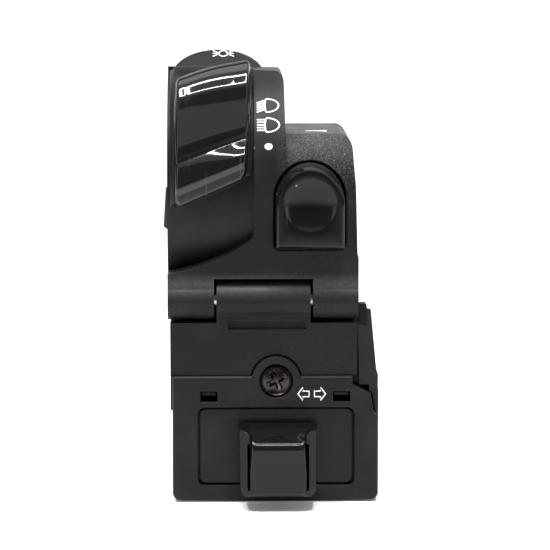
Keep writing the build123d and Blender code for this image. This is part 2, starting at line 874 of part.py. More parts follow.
def light_pivot_pin():
    """Pin that the light switch rocker turns on."""
    half = arm_thickness / 2 + cheek_gap + cheek_thickness + pivot_pin_end
    return rod_x(pivot_radius, arm_x - half, arm_x + half, drum_y, drum_z)


def horn_button():
    """Horn button: a hollow cap with a sloping crown, a dished face and a guide flange."""
    top = horn_spring_line_z + horn_half_width
    cap = front_prism(horn_face(-horn_clearance), button_front_y, button_rear_y)
    cap &= side_prism(polygon(
        (button_front_y, horn_low_z),
        (button_rear_y, horn_low_z),
        (button_rear_y, top),
        (button_front_y + button_crown_depth, top),
        (button_front_y, button_crown_z),
    ), horn_x - 2 * horn_half_width, horn_x + 2 * horn_half_width)
    face = cap.faces().sort_by(Axis.Y)[0]
    cap = fillet(face.edges(), button_edge_radius)
    flange_front = button_rear_y - button_flange_thickness
    flange = front_prism(horn_face(button_flange - horn_clearance), flange_front, button_rear_y)
    cap += flange & block(0, button_flange_right_x, flange_front, button_rear_y, 0, tower_crest_z)
    cap -= front_prism(horn_face(-horn_clearance - button_wall), button_front_y + button_face_thickness,
                       button_rear_y)
    cap += rod_y(button_stem_radius, horn_x, button_front_y + button_face_thickness, button_stem_end_y,
                 dish_z)
    return cap - Pos(horn_x, button_front_y + dish_depth - dish_radius, dish_z) * Sphere(dish_radius)


def horn_contact_plate():
    """Contact disc at the end of the horn button's stem."""
    end = button_stem_end_y + contact_plate_thickness
    return rod_y(contact_plate_radius, horn_x, button_stem_end_y, end, dish_z)


def horn_spring():
    """Return spring of the horn button, round its stem."""
    start = button_front_y + button_face_thickness + spring_seat_gap
    length = horn_base_front_y - spring_seat_gap - start
    return Pos(horn_x, start, dish_z) * Rot(-90, 0, 0) * coil(horn_spring_radius, horn_spring_wire,
                                                            length, horn_spring_turns)


def horn_switch_base():
    """Base behind the horn button with its two fixed contacts."""
    solid = block(horn_x - horn_base_half_width, horn_x + horn_base_half_width, horn_base_front_y,
                  horn_base_rear_y, horn_base_low_z, horn_base_top_z)
    for side in (-horn_contact_spread, horn_contact_spread):
        tip = horn_base_front_y - horn_contact_height
        solid += rod_y(horn_contact_radius, horn_x + side, tip, horn_base_front_y, dish_z)
    return solid


def circuit_board():
    """Board behind the horn switch, on the posts of the rear cover."""
    rear = horn_base_rear_y + board_thickness
    face = polygon((board_left_x, board_low_z), (board_right_x, board_low_z),
                   (board_right_x, board_top_z), (board_left_x, board_top_z))
    return front_prism(chamfer(face.vertices(), board_corner), horn_base_rear_y, rear)


def pass_trigger():
    """Passing light trigger: a curved finger lever that reaches past the left flank."""
    outer = Spline((trigger_pivot_x, trigger_pivot_y + trigger_hub_radius), *trigger_outer_points)
    inner = Spline(*trigger_inner_points, (trigger_pivot_x, trigger_pivot_y - trigger_hub_radius))
    tip = ThreePointArc(outer @ 1, trigger_tip_point, inner @ 0)
    root = Line(inner @ 1, outer @ 0)
    blade = make_face(Curve() + [outer, tip, inner, root])
    solid = extrude(Plane.XY.offset(trigger_low_z) * blade, amount=trigger_top_z - trigger_low_z)
    end = polygon((trigger_tip_x, trigger_low_z), (trigger_pivot_x + overrun, trigger_low_z),
                  (trigger_pivot_x + overrun, trigger_top_z), (trigger_tip_x + trigger_tip_taper,
                                                               trigger_top_z))
    end = fillet(end.vertices().group_by(Axis.X)[:2][0] + end.vertices().group_by(Axis.X)[1],
                 trigger_tip_round)
    solid &= front_prism(end, seam_y, 2 * rear_y)
    solid += rod_z(trigger_hub_radius, trigger_pivot_x, trigger_pivot_y, trigger_hub_low_z, trigger_top_z)
    reach = lug_radius + run_clearance
    solid -= block(trigger_pivot_x - reach, trigger_pivot_x + reach, trigger_pivot_y - reach - wall,
                   trigger_pivot_y + reach, trigger_low_z, trigger_hub_low_z)
    room = trigger_hub_radius + run_clearance
    gap_low = trigger_spring_z - trigger_spring_room / 2
    solid -= block(trigger_pivot_x - room, trigger_pivot_x + room, trigger_pivot_y - room,
                   trigger_pivot_y + room,
                   gap_low, gap_low + trigger_spring_room)
    solid += block(trigger_nub_x - trigger_nub_half_width, trigger_nub_x + trigger_nub_half_width,
                   trigger_nub_y, trigger_pivot_y, trigger_nub_low_z, trigger_nub_top_z)
    pin_hole = trigger_pin_radius + pin_clearance
    return solid - rod_z(pin_hole, trigger_pivot_x, trigger_pivot_y, trigger_low_z, trigger_top_z)


def pass_pivot_pin():
    """Upright pin that the passing trigger turns on."""
    return rod_z(trigger_pin_radius, trigger_pivot_x, trigger_pivot_y, lug_low_z, lug_top_z + lug_thickness)


def pass_spring():
    """Torsion spring round the trigger's pin."""
    low = trigger_spring_z - trigger_spring_room / 2 + spring_seat_gap
    length = trigger_spring_room - 2 * spring_seat_gap
    radius = trigger_pin_radius + trigger_spring_wire + run_clearance / 2
    return Pos(trigger_pivot_x, trigger_pivot_y, low) * coil(radius, trigger_spring_wire, length,
                                                             trigger_spring_turns)


def pass_microswitch():
    """Small push switch inside the rear cover, its plunger facing the trigger."""
    half = microswitch_width / 2
    left = trigger_nub_x - microswitch_offset - half
    solid = block(left, left + microswitch_width, microswitch_front_y, microswitch_rear_y,
                  microswitch_low_z, microswitch_top_z)
    return solid + rod_y(plunger_radius, trigger_nub_x, microswitch_rear_y, plunger_end_y,
                         trigger_nub_middle_z)


def clamp_profile():
    """Side profile of the lower clamp half, with the step under its screws."""
    top = -half_gap
    neck = hinge_y + hinge_radius + hinge_relief
    face = polygon(
        (lower_front_y, module_top_z),
        (lower_front_y, -hinge_radius - hinge_relief),
        (neck, -hinge_radius - hinge_relief),
        (neck, top),
        (rear_y, top),
        (rear_y, lower_boss_z),
        (module_rear_y + seam, lower_boss_z),
        (module_rear_y + seam, module_top_z),
    )
    return face


def lower_clamp_half():
    """Lower clamp half with the centre knuckle, the half bore and the screw seats."""
    solid = side_prism(clamp_profile(), lower_left_x, lower_right_x)
    web = block(knuckle_left_x, knuckle_right_x, lower_front_y, hinge_y + hinge_radius + hinge_relief,
                module_top_z, -half_gap)
    solid += web
    solid = fillet(solid.edges().filter_by(Axis.Z).group_by(Axis.Y)[-1], block_rear_radius)
    solid += rod_x(hinge_radius, knuckle_left_x, knuckle_right_x, hinge_y, 0)
    web_top = block(knuckle_left_x, knuckle_right_x, front_y - overrun, hinge_y, -half_gap, half_gap)
    solid -= web_top - rod_x(hinge_radius, knuckle_left_x, knuckle_right_x, hinge_y, 0)
    relief = hinge_radius + hinge_relief
    solid -= rod_x(relief, lower_left_x - overrun, knuckle_left_x, hinge_y, 0)
    solid -= rod_x(relief, knuckle_right_x, lower_right_x + overrun, hinge_y, 0)
    solid -= rod_x(bar_radius, 2 * lower_left_x, 2 * lower_right_x, 0, 0)
    solid -= rod_x(hinge_pin_radius + pin_clearance, lower_left_x, lower_right_x, hinge_y, 0)
    solid -= block(recess_left_x, recess_right_x, lower_front_y - overrun, lower_front_y + recess_depth,
                   recess_low_z, -hinge_radius)
    solid -= rod_y(cover_lug_radius + cover_lug_gap, cover_boss_x, lower_front_y - overrun,
                   screw_post_end_y + cover_lug_gap, cover_boss_z)
    seat = -half_gap - screw_grip
    for x in (-screw_x, screw_x):
        solid -= rod_z(screw_hole_radius, x, screw_y, seat, 0)
        solid -= rod_z(counterbore_radius, x, screw_y, lower_boss_z - overrun, seat)
    for x in (-module_screw_x, module_screw_x):
        solid -= rod_z(module_screw_radius, x, module_screw_y, module_top_z,
                       module_top_z + module_screw_length)
    return solid


def clamp_screws():
    """Two hexagon socket screws that close the clamp from below."""
    screws = []
    neck = -half_gap - screw_grip - washer_thickness
    for x in (-screw_x, screw_x):
        shank = rod_z(screw_radius, x, screw_y, neck, half_gap + screw_engagement)
        shank = chamfer(shank.edges().filter_by(GeomType.CIRCLE).sort_by(Axis.Z)[-1], screw_tip_chamfer)
        head = rod_z(screw_head_radius, x, screw_y, neck - screw_head_height, neck)
        key = Plane.XY.offset(neck - screw_head_height) * Pos(x,
                                                              screw_y) * RegularPolygon(screw_key_radius, 6)
        screws.append(shank + head - extrude(key, amount=screw_key_depth))
    return Compound(children=screws)


def clamp_washers():
    """Two washers under the heads of the clamp screws."""
    washers = []
    top = -half_gap - screw_grip
    for x in (-screw_x, screw_x):
        ring = rod_z(washer_radius, x, screw_y, top - washer_thickness, top)
        washers.append(ring - rod_z(screw_hole_radius, x, screw_y, top - washer_thickness, top))
    return Compound(children=washers)


def cover_outline():
    """Front outline of the module's front cover, its upper right corner cut for the ear."""
    middle = (module_left_x + module_right_x) / 2
    corner = (module_right_x, module_step_z)
    upper = Polyline(corner, (corner_cut_tip_x, module_step_z), (corner_cut_low_x, corner_cut_low_z),
                     (corner_cut_x, corner_cut_z), (corner_cut_x, module_top_z), (module_left_x,
                                                                                  module_top_z),
                     (module_left_x, module_low_z))
    belly = ThreePointArc((module_left_x, module_low_z), (middle, module_low_z - module_belly),
                          (module_right_x, module_low_z))
    face = make_face(Curve() + [upper, belly, Line((module_right_x, module_low_z), corner)])
    return fillet(face.vertices().group_by(Axis.Y)[0], module_corner_radius)


def window_face(shrink):
    """Outline of the window for the turn signal knob, made smaller by shrink."""
    left = window_left_x + shrink
    right = window_right_x - shrink
    width = right - left
    height = window_top_z - window_low_z - 2 * shrink
    place = Pos((left + right) / 2, (window_top_z + window_low_z) / 2)
    return place * RectangleRounded(width, height, window_corner_radius)


def module_front_cover():
    """Front cover of the turn signal module with its window, latch slots and screw seat."""
    plate_rear = module_front_y + module_plate_thickness
    plate = front_prism(cover_outline(), module_front_y, plate_rear)
    plate = fillet(plate.faces().sort_by(Axis.Y)[0].edges(), module_edge_radius)
    low = block(2 * module_left_x, 2 * module_right_x, module_front_y, module_skirt_y, 2 * module_low_z,
                module_step_z)
    skirt = front_prism(cover_outline(), plate_rear, module_skirt_y) & low
    skirt -= block(module_left_x + wall, module_right_x - wall, plate_rear, module_skirt_y + overrun,
                   module_low_z + wall, 0)
    lug = rod_y(cover_lug_radius, cover_boss_x, module_front_y, plate_rear, cover_boss_z)
    solid = plate + skirt + lug
    solid -= front_prism(window_face(0), module_front_y - overrun, plate_rear + overrun)
    for x in (latch_left_x, latch_right_x):
        half = latch_width / 2
        solid -= block(x - half, x + half, module_front_y - overrun, plate_rear + overrun, latch_low_z,
                       latch_top_z)
    seat = module_front_y + cover_screw_recess_depth
    solid -= rod_y(cover_screw_recess_radius, cover_boss_x, module_front_y - overrun, seat, cover_boss_z)
    hole = main_screw_radius + cover_screw_clearance
    return solid - rod_y(hole, cover_boss_x, seat, plate_rear + overrun, cover_boss_z)


def cover_screw():
    """Cross recessed pan head screw that holds the front cover."""
    seat = module_front_y + cover_screw_recess_depth
    head = rod_y(main_screw_head_radius, cover_boss_x, seat - main_screw_head_height, seat, cover_boss_z)
    head = fillet(head.edges().filter_by(GeomType.CIRCLE).sort_by(Axis.Y)[0], main_screw_head_round)
    front = seat - main_screw_head_height
    for width, height in ((main_screw_recess_length, main_screw_recess_width),
                          (main_screw_recess_width, main_screw_recess_length)):
        slot = Pos(cover_boss_x, cover_boss_z) * Rectangle(width, height)
        head -= front_prism(slot, front - overrun, front + main_screw_recess)
    return head + rod_y(main_screw_radius, cover_boss_x, seat, screw_post_end_y - overrun, cover_boss_z)


def ear():
    """Ramp at the right of the clamp that rises to the bar and shields the leads."""
    left = polygon((ear_front_y, module_step_z + seam), (ear_front_y, ear_ramp_left_z),
                   (ear_top_y, ear_top_z),
                   (module_rear_y, ear_top_z), (module_rear_y, module_step_z + seam))
    right = polygon((ear_front_y, module_step_z + seam), (ear_front_y, ear_ramp_right_z),
                    (ear_top_y, ear_top_z - ear_side_drop), (module_rear_y, ear_top_z - ear_side_drop),
                    (module_rear_y, module_step_z + seam))
    ramp = loft([side_plane(ear_left_x) * left, side_plane(module_right_x) * right], ruled=True)
    flank = polygon((ear_left_x, module_step_z), (ear_left_x, 0), (ear_top_x, 0), (ear_top_x, ear_top_z),
                    (module_right_x, corner_cut_low_z), (module_right_x, module_step_z))
    ramp &= front_prism(flank, ear_front_y, module_rear_y)
    width = post_width
    face = polygon((post_left_x, post_foot_z), (post_left_x + width, post_foot_z),
                   (post_left_x + width, post_top_z), (post_left_x, post_top_z))
    face = fillet(face.vertices().group_by(Axis.Y)[-1], width / 2 - seam)
    solid = ramp + front_prism(face, post_front_y, post_front_y + post_depth)
    return solid - rod_x(bar_radius + ear_bar_clearance, ear_left_x - overrun, 2 * module_right_x, 0, 0)


def module_rear_shell():
    """Rear shell of the turn signal module with the ear, the screw boss and the board posts."""
    plate_rear = module_front_y + module_plate_thickness
    upper = block(module_shell_left_x, module_right_x, plate_rear + seam, module_rear_y,
                  module_step_z + seam, module_top_z)
    low = block(2 * module_left_x, 2 * module_right_x, module_front_y, 2 * module_rear_y, 2 * module_low_z,
                module_step_z + seam)
    lower = front_prism(cover_outline(), module_skirt_y + seam, module_rear_y) & low
    solid = upper + lower + ear()
    solid = fillet(solid.faces().sort_by(Axis.Y)[-1].edges(), module_edge_radius)
    solid -= block(module_left_x + wall, module_right_x - wall, module_front_y, module_rear_y - wall,
                   module_low_z + wall, module_top_z - wall)
    keep_out = offset(cover_outline(), amount=seam, kind=Kind.INTERSECTION)
    solid -= front_prism(keep_out, 2 * module_front_y, plate_rear + seam)
    solid += rod_y(main_screw_post_radius, cover_boss_x, plate_rear + seam, screw_post_end_y, cover_boss_z)
    solid -= rod_y(main_screw_radius, cover_boss_x, plate_rear, screw_post_end_y + overrun, cover_boss_z)
    board_rear = switch_base_rear_y + turn_board_thickness
    for x in (window_left_x + shell_post_inset, window_right_x - shell_post_inset):
        for z in (window_top_z - shell_post_inset, window_low_z + shell_post_inset):
            solid += rod_y(shell_post_radius, x, board_rear, module_rear_y - wall, z)
    half = latch_width / 2 - seam
    tongue_low = latch_top_z - latch_tongue_share * (latch_top_z - latch_low_z)
    for x in (latch_left_x, latch_right_x):
        solid += block(x - half, x + half, latch_tongue_front_y, plate_rear + overrun, tongue_low,
                       latch_top_z - seam)
        solid += block(x - half, x + half, plate_rear + seam, plate_rear + overrun, tongue_low,
                       module_top_z - wall)
    for x in (-module_screw_x, module_screw_x):
        solid -= rod_z(module_screw_radius + seam, x, module_screw_y, module_top_z - 2 * wall, module_top_z)
    return solid - rod_x(gland_radius + gland_clearance, module_right_x - 2 * wall, 2 * module_right_x,
                         gland_y, gland_z)


def module_screws():
    """Two screws from inside the module up into the lower clamp half."""
    screws = []
    seat = module_top_z - wall
    for x in (-module_screw_x, module_screw_x):
        shank = rod_z(module_screw_radius, x, module_screw_y, seat,
                      module_top_z + module_screw_length - overrun)
        head = rod_z(module_screw_head_radius, x, module_screw_y, seat - module_screw_head_height, seat)
        screws.append(shank + head)
    return Compound(children=screws)


def window_plate():
    """Plate that fills the window, with a slot for the knob's stem."""
    plate_rear = module_front_y + module_plate_thickness
    solid = front_prism(window_face(window_gap), window_plate_front_y, plate_rear)
    half = stem_half_width + turn_travel + stem_slot_clearance
    tall = stem_half_height + stem_slot_clearance
    return solid - block(knob_x - half, knob_x + half, window_plate_front_y - overrun, plate_rear + overrun,
                         stem_z - tall, stem_z + tall)


def turn_switch_base():
    """Frame behind the window in which the turn signal slider runs."""
    front = module_front_y + module_plate_thickness
    solid = block(window_left_x - switch_base_margin, window_right_x + switch_base_margin, front,
                  switch_base_rear_y, window_low_z - switch_base_margin, window_top_z + switch_base_margin)
    half = slider_half_width + turn_travel + slider_end_gap
    solid -= block(knob_x - half, knob_x + half, front - overrun, switch_base_rear_y + overrun,
                   track_low_z, track_top_z)
    for step in (-1, 0, 1):
        x = knob_x + step * turn_travel
        solid -= rod_y(notch_radius, x, front + notch_start, front + notch_start + notch_length,
                       track_top_z + notch_depth - notch_radius)
    return solid


def turn_contact_board():
    """Board that closes the rear of the turn signal switch."""
    return block(window_left_x - switch_base_margin, window_right_x + switch_base_margin, switch_base_rear_y,
                 switch_base_rear_y + turn_board_thickness, window_low_z - switch_base_margin,
                 window_top_z + switch_base_margin)


def turn_slider():
    """Slider that carries the turn signal knob from side to side."""
    front = module_front_y + module_plate_thickness + slider_front_gap
    solid = block(knob_x - slider_half_width, knob_x + slider_half_width, front, slider_rear_y,
                  track_low_z + slider_clearance, track_top_z - slider_clearance)
    half = stem_half_width + slider_clearance
    tall = stem_half_height + slider_clearance
    solid -= block(knob_x - half, knob_x + half, front - overrun, push_pocket_end_y, stem_z - tall,
                   stem_z + tall)
    for side in (-1, 1):
        mouth = knob_x + side * slider_half_width
        floor = mouth - side * return_pocket_depth
        solid -= rod_x(return_spring_radius + spring_pocket_clearance, min(mouth, floor), max(mouth, floor),
                       return_spring_y, track_middle_z)
    top = track_top_z - slider_clearance
    return solid - rod_z(ball_radius + ball_bore_clearance, knob_x, turn_ball_y,
                         top - turn_ball_bore_depth, top)


def turn_contact_plate():
    """Sprung brass plate on the rear of the slider with two raised contacts."""
    rear = slider_rear_y + turn_contact_thickness
    solid = block(knob_x - turn_contact_half_width, knob_x + turn_contact_half_width, slider_rear_y, rear,
                  track_middle_z - turn_contact_height / 2, track_middle_z + turn_contact_height / 2)
    for side in (-1, 1):
        x = knob_x + side * turn_contact_half_width / 2
        solid += rod_y(horn_contact_radius, x, rear, switch_base_rear_y - contact_gap, track_middle_z)
    return solid


def turn_detent_ball():
    """Ball in the top of the slider that rests under the notches of the frame."""
    return Pos(knob_x, turn_ball_y, track_top_z - ball_clearance - ball_radius) * Sphere(ball_radius)


def turn_detent_spring():
    """Coil spring under the ball in the slider."""
    low = track_top_z - slider_clearance - turn_ball_bore_depth
    length = track_top_z - ball_clearance - 2 * ball_radius - low
    return Pos(knob_x, turn_ball_y, low) * coil(ball_radius - spring_wire_radius, spring_wire_radius,
                                                length, detent_spring_turns)


def turn_return_springs():
    """Two coil springs that bring the slider back to the middle."""
    springs = []
    for side in (-1, 1):
        seat = knob_x + side * (slider_half_width - return_pocket_depth)
        length = return_pocket_depth + turn_travel + slider_end_gap - 2 * spring_seat_gap
        stand = Pos(seat + side * spring_seat_gap, return_spring_y, track_middle_z) * Rot(0, 90 * side, 0)
        springs.append(stand * coil(return_spring_radius, return_spring_wire, length, return_spring_turns))
    return Compound(children=springs)


def push_spring():
    """Small spring between the slider and the stem of the knob."""
    start = stem_end_y + spring_seat_gap
    length = push_pocket_end_y - spring_seat_gap - start
    return Pos(knob_x, start, stem_z) * Rot(-90, 0, 0) * coil(push_spring_radius, push_spring_wire,
                                                              length, push_spring_turns)


def turn_knob():
    """Glossy turn signal knob: a tapered block with cut corners, a grip groove at each side and a stem."""
    base = front_plane(knob_base_y) * Pos(knob_x, (knob_base_top_z + knob_base_low_z) / 2) * Rectangle(
        2 * knob_base_half_width, knob_base_top_z - knob_base_low_z)
    front = front_plane(knob_front_y) * Pos(knob_x, (knob_front_top_z + knob_front_low_z) / 2) * Rectangle(
        2 * knob_front_half_width, knob_front_top_z - knob_front_low_z)
    solid = loft([base, front], ruled=True)
    front_edges = solid.faces().sort_by(Axis.Y)[0].edges()
    rear_edges = solid.faces().sort_by(Axis.Y)[-1].edges()
    ends = [edge.center() for edge in front_edges + rear_edges]
    slanted = [edge for edge in solid.edges() if all((edge.center() - end).length > seam for end in ends)]
    solid = chamfer(slanted, knob_corner_chamfer)
    low_edge = solid.faces().sort_by(Axis.Y)[0].edges().sort_by(Axis.Z)[0]
    solid = chamfer(low_edge, knob_low_chamfer)
    top_edge = solid.faces().sort_by(Axis.Y)[0].edges().sort_by(Axis.Z)[-1]
    solid = chamfer(top_edge, knob_top_chamfer)
    for side in (-1, 1):
        x = knob_x + side * (knob_front_half_width - knob_groove_inset)
        groove = block(x - knob_groove_width / 2, x + knob_groove_width / 2, knob_front_y - overrun,
                       knob_front_y + knob_groove_depth, knob_base_low_z, knob_base_top_z)
        solid -= groove
    return solid + block(knob_x - stem_half_width, knob_x + stem_half_width, knob_base_y, stem_end_y,
                         stem_z - stem_half_height, stem_z + stem_half_height)


def cable_gland():
    """Rubber bush with a lip at each side of the module's wall."""
    solid = rod_x(gland_radius, gland_inner_x, gland_outer_x, gland_y, gland_z)
    inner_lip = module_right_x - wall - seam
    solid += rod_x(gland_lip_radius, inner_lip - gland_lip_thickness, inner_lip, gland_y, gland_z)
    solid += rod_x(gland_lip_radius, module_right_x + seam, gland_outer_x, gland_y, gland_z)
    return solid - rod_x(gland_bore_radius, gland_inner_x - overrun, gland_outer_x + overrun, gland_y,
                         gland_z)


pieces = (
    upper_housing, rear_cover, rear_cover_screws, clamp_inserts, hinge_pin,
    light_rocker_frame, light_rocker_pad, light_detent_ball, light_detent_spring, light_contact_wiper,
    light_detent_plate, light_contact_board, light_switch_bracket, light_pivot_pin,
    horn_button, horn_contact_plate, horn_spring, horn_switch_base, circuit_board,
    pass_trigger, pass_pivot_pin, pass_spring, pass_microswitch,
    lower_clamp_half, clamp_screws, clamp_washers,
    module_front_cover, cover_screw, module_rear_shell, module_screws, window_plate,
    turn_switch_base, turn_contact_board, turn_slider, turn_contact_plate,
    turn_detent_ball, turn_detent_spring, turn_return_springs, push_spring, turn_knob, cable_gland,
)

if __name__ == "__main__":
    os.makedirs("parts", exist_ok=True)
    for piece in pieces:
        export_step(piece(), "parts/" + piece.__name__ + ".step")
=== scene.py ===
import math

import bmesh
import bpy
import numpy as np
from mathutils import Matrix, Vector
from mathutils.bvhtree import BVHTree


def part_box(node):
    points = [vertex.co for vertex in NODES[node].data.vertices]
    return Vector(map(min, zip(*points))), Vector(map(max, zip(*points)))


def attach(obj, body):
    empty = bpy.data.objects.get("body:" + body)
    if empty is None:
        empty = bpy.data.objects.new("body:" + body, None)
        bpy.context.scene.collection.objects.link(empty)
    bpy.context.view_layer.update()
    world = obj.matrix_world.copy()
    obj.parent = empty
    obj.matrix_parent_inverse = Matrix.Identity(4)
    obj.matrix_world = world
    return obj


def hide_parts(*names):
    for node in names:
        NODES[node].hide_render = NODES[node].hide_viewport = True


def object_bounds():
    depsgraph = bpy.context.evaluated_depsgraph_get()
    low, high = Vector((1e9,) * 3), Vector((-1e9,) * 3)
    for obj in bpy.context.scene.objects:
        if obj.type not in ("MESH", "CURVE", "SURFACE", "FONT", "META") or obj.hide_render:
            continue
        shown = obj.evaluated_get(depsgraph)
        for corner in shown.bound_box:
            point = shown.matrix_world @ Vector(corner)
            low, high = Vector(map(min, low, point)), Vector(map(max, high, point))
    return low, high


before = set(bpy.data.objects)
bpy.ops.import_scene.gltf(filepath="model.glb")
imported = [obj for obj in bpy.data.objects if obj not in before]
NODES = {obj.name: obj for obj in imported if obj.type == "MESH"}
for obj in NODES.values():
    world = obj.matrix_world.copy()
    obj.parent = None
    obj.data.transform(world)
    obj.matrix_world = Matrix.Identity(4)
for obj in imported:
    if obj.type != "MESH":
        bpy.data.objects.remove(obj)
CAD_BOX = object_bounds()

bl_info = {
    "name": "Handlebar switch cluster",
    "version": (1, 0, 0),
    "blender": (4, 5, 0),
    "location": "3D Viewport > Sidebar > Switch cluster",
    "description": "Dresses the packed handlebar switch cluster and sets its stage",
    "category": "Object",
}

MM = 0.001

# Shapes are given in millimetres and degrees, materials and lights in metres.

# Tower: the drum round a level axis, which the rocker and the signs beside it follow.
DRUM_RADIUS = 28.0
DRUM_Y = 6.0
DRUM_Z = 22.0

# Rocker pad: its seat's radius, the angles of its corners, and for each long edge the stations down it, as
# shares of its length, with the angle that the skin faces at each.
PAD_SEAT = 28.5
PAD_TOP_LEFT = 55.5
PAD_TOP_RIGHT = 61.4
PAD_LOW_LEFT = -4.6
PAD_LOW_RIGHT = 8.2
PAD_LEFT_SHARES = (0.0, 0.044, 0.098, 0.123, 0.213, 0.24, 0.302, 0.347, 0.586, 0.613, 0.671, 0.697,
                   0.711, 0.729, 0.746, 0.844, 0.888, 0.9, 0.916, 0.985, 1.0)
PAD_RIGHT_SHARES = (0.0, 0.03, 0.099, 0.158, 0.246, 0.285, 0.363, 0.402, 0.598, 0.627, 0.672, 0.696,
                    0.754, 0.819, 0.852, 0.872, 0.891, 0.904, 0.922, 0.984, 1.0)
PAD_LEFT_FACINGS = (95.0, 75.0, 52.0, 47.0, 35.0, 26.0, 26.0, 28.5, 28.5, 4.0, 0.0, 33.0, 31.0, 27.0,
                    18.0, 14.0, -20.0, -38.0, -2.0, -4.0, -30.0)
PAD_RIGHT_FACINGS = (95.0, 75.0, 52.0, 47.0, 35.0, 26.0, 26.0, 31.0, 31.0, 4.0, 0.0, 50.0, 46.0, 35.0,
                     18.0, 14.0, -20.0, -38.0, -2.0, -4.0, -30.0)
PAD_STEEPEST = 40.0
PAD_LEAST = 1.0
PAD_MIDDLE = 2.0
PAD_ROLL = 0.8
PAD_FOOT = 0.4
PAD_TOP_CORNER = 1.8
PAD_LOW_CORNER = 2.2
PAD_PAST_LEFT = 0.45
PAD_PAST_RIGHT = 1.05
PAD_NARROWING = 1.1
RIM_SEAT = 0.05
RIM_HALF = 0.22
RIM_SINK = 0.1
RIM_EVERY = 3

# Horn button: its dish, then the arches of its front and its body: half width, the height at which the
# arch springs, its rise, and the height of its foot.
HORN_X = 9.83
DISH_Z = 20.6
DISH_RADIUS = 5.6
DISH_LIP = ((0.12, -0.02), (0.24, -0.04))
HORN_FRONT = (6.5, 20.0, 7.85, 12.2)
HORN_BODY = (7.22, 21.2, 8.0, 11.3)
HORN_FLAT = 0.965
HORN_EDGE = 0.04
HORN_SHOULDER = 0.9
HORN_LEAN = 3.6
HORN_SHARES = (0.12, 0.4, 0.7, 1.0)
HORN_SKIRT = 0.3
HORN_SHORTER = 0.7

# Turn signal knob: its outline from the front, the plane that it stands on, and its stem.
KNOB_X = 3.0
KNOB_TOP = -25.7
KNOB_LOW = -40.2
KNOB_HALF = 8.4
KNOB_CORNER = 2.4
KNOB_BASE = -24.0
KNOB_LEAST = 0.05
KNOB_FOOT = 0.1
KNOB_SHARPNESS = 5.0
STEM_HALF = 2.0
STEM_Z = -31.5
STEM_RISE = 2.7
STEM_START = KNOB_BASE - 0.5
STEM_END = -14.6

# The knob's slopes: the ramp and its flanks, the front, the cheeks beside it and the grooves between.
RAMP_RISE = 3.2
RAMP_HALF = 4.7
RAMP_LOW = -28.4
RAMP_SPREAD = 0.815
FLANK_RISE = 4.5
FLANK_REACH = 9.0
FRONT_TOP = -29.2
FRONT_TOP_FALL = 0.87
FRONT_HALF = 5.2
FRONT_SIDE_FALL = 0.6
CHEEK_DEPTH = 8.6
CHEEK_FALL = 0.65
CHEEK_LOW = -38.0
CHEEK_LEAN = 0.3
CHEEK_INSIDE = 6.0
CHEEK_STEP = 4.0
GROOVE_AT = 6.13
GROOVE_HALF = 0.3
GROOVE_DEPTH = 2.4
GROOVE_TOP = -29.0
GROOVE_LOW = -38.4
GROOVE_FADE = 0.4
SIDE_RISE = 14.0
TOP_RISE = 6.0
LOW_RISE = 22.0
LOW_BEVEL = 1.2
LOW_BEVEL_FALL = 1.2

# Cover screw: its head's crown, its side as steps back from the front, and the cross recess.
SCREW_CROWN = 0.28
SCREW_MIDDLE = 0.03
SCREW_EDGE = 0.35
SCREW_BEVEL = 0.1
SCREW_STEPS = (0.45, 0.7, 1.7)
SHANK_RADIUS = 1.6
RECESS_TURN = (0.9, 0.436)
RECESS_DEPTH = 1.3
RECESS_HALF = 0.62
RECESS_FADE = 0.3
RECESS_REACH = 2.3
RECESS_RUNOUT = 1.2

# Signs: drawn right and up from the middle of each. A beam has its angle on the drum, the heights of its
# first and last ray, how far they fall, and its lamp: left and right end, half height and front's bow.
SIGN_SINK = 0.05
RAY_ENDS = (-1.2, 0.45)
RAY_COUNT = 5
BEAMS = (("sign_low_beam", 42.0, (1.35, -1.05), 0.75, (0.85, 3.4, 1.75, 0.35)),
         ("sign_high_beam", 32.0, (1.25, -1.25), 0.0, (0.85, 3.5, 1.65, 0.35)))
OFF_SPOT_AT = (1.2, 22.0)
OFF_SPOT_RADII = (0.85, 0.72)
BULB_ABOVE = (-8.2, 8.5, 80.0)
BULB_RADII = (0.95, 1.1)
BULB_RAY_START = (1.25, 0.4)
BULB_RAY_END = (2.3, 1.15)
BELL_ABOVE = (11.8, -8.5, 80.0)
BELL = ((-2.5, -0.45), (-1.2, -0.45), (0.6, -0.8), (1.8, -1.7), (2.1, 0.0), (1.8, 1.7), (0.6, 0.8),
        (-1.2, 0.45), (-2.5, 0.45))
ARROWS_BEFORE = (10.25, -60.0, -19.7)
ARROWS_APART = 1.72
ARROW_LENGTH = 0.85
ARROW = ((-1.35, -0.6), (0.15, -0.6), (0.15, -1.4), (1.4, 0.0), (0.15, 1.4), (0.15, 0.6), (-1.35, 0.6))

# Directions, and a whole round: its first and last angle and its count of points.
RIGHT = (1.0, 0.0, 0.0)
DOWN = (0.0, 0.0, -1.0)
BACK = (0.0, 1.0, 0.0)
ROUND = (0.0, 345.0, 24)

# Stage: the sweep of paper, from its front edge to the top of its wall.
SWEEP_HALF = 1800.0
SWEEP_COLUMNS = 19
SWEEP_FLOOR = (-2600.0, -900.0, -200.0, 200.0)
BEND_Y = 450.0
BEND_RADIUS = 250.0
BEND_ROWS = 17
SWEEP_TOP = 1100.0
SWEEP_BELOW = 0.05
CAMERA_TARGET = (2.5, -22.0, 5.61)

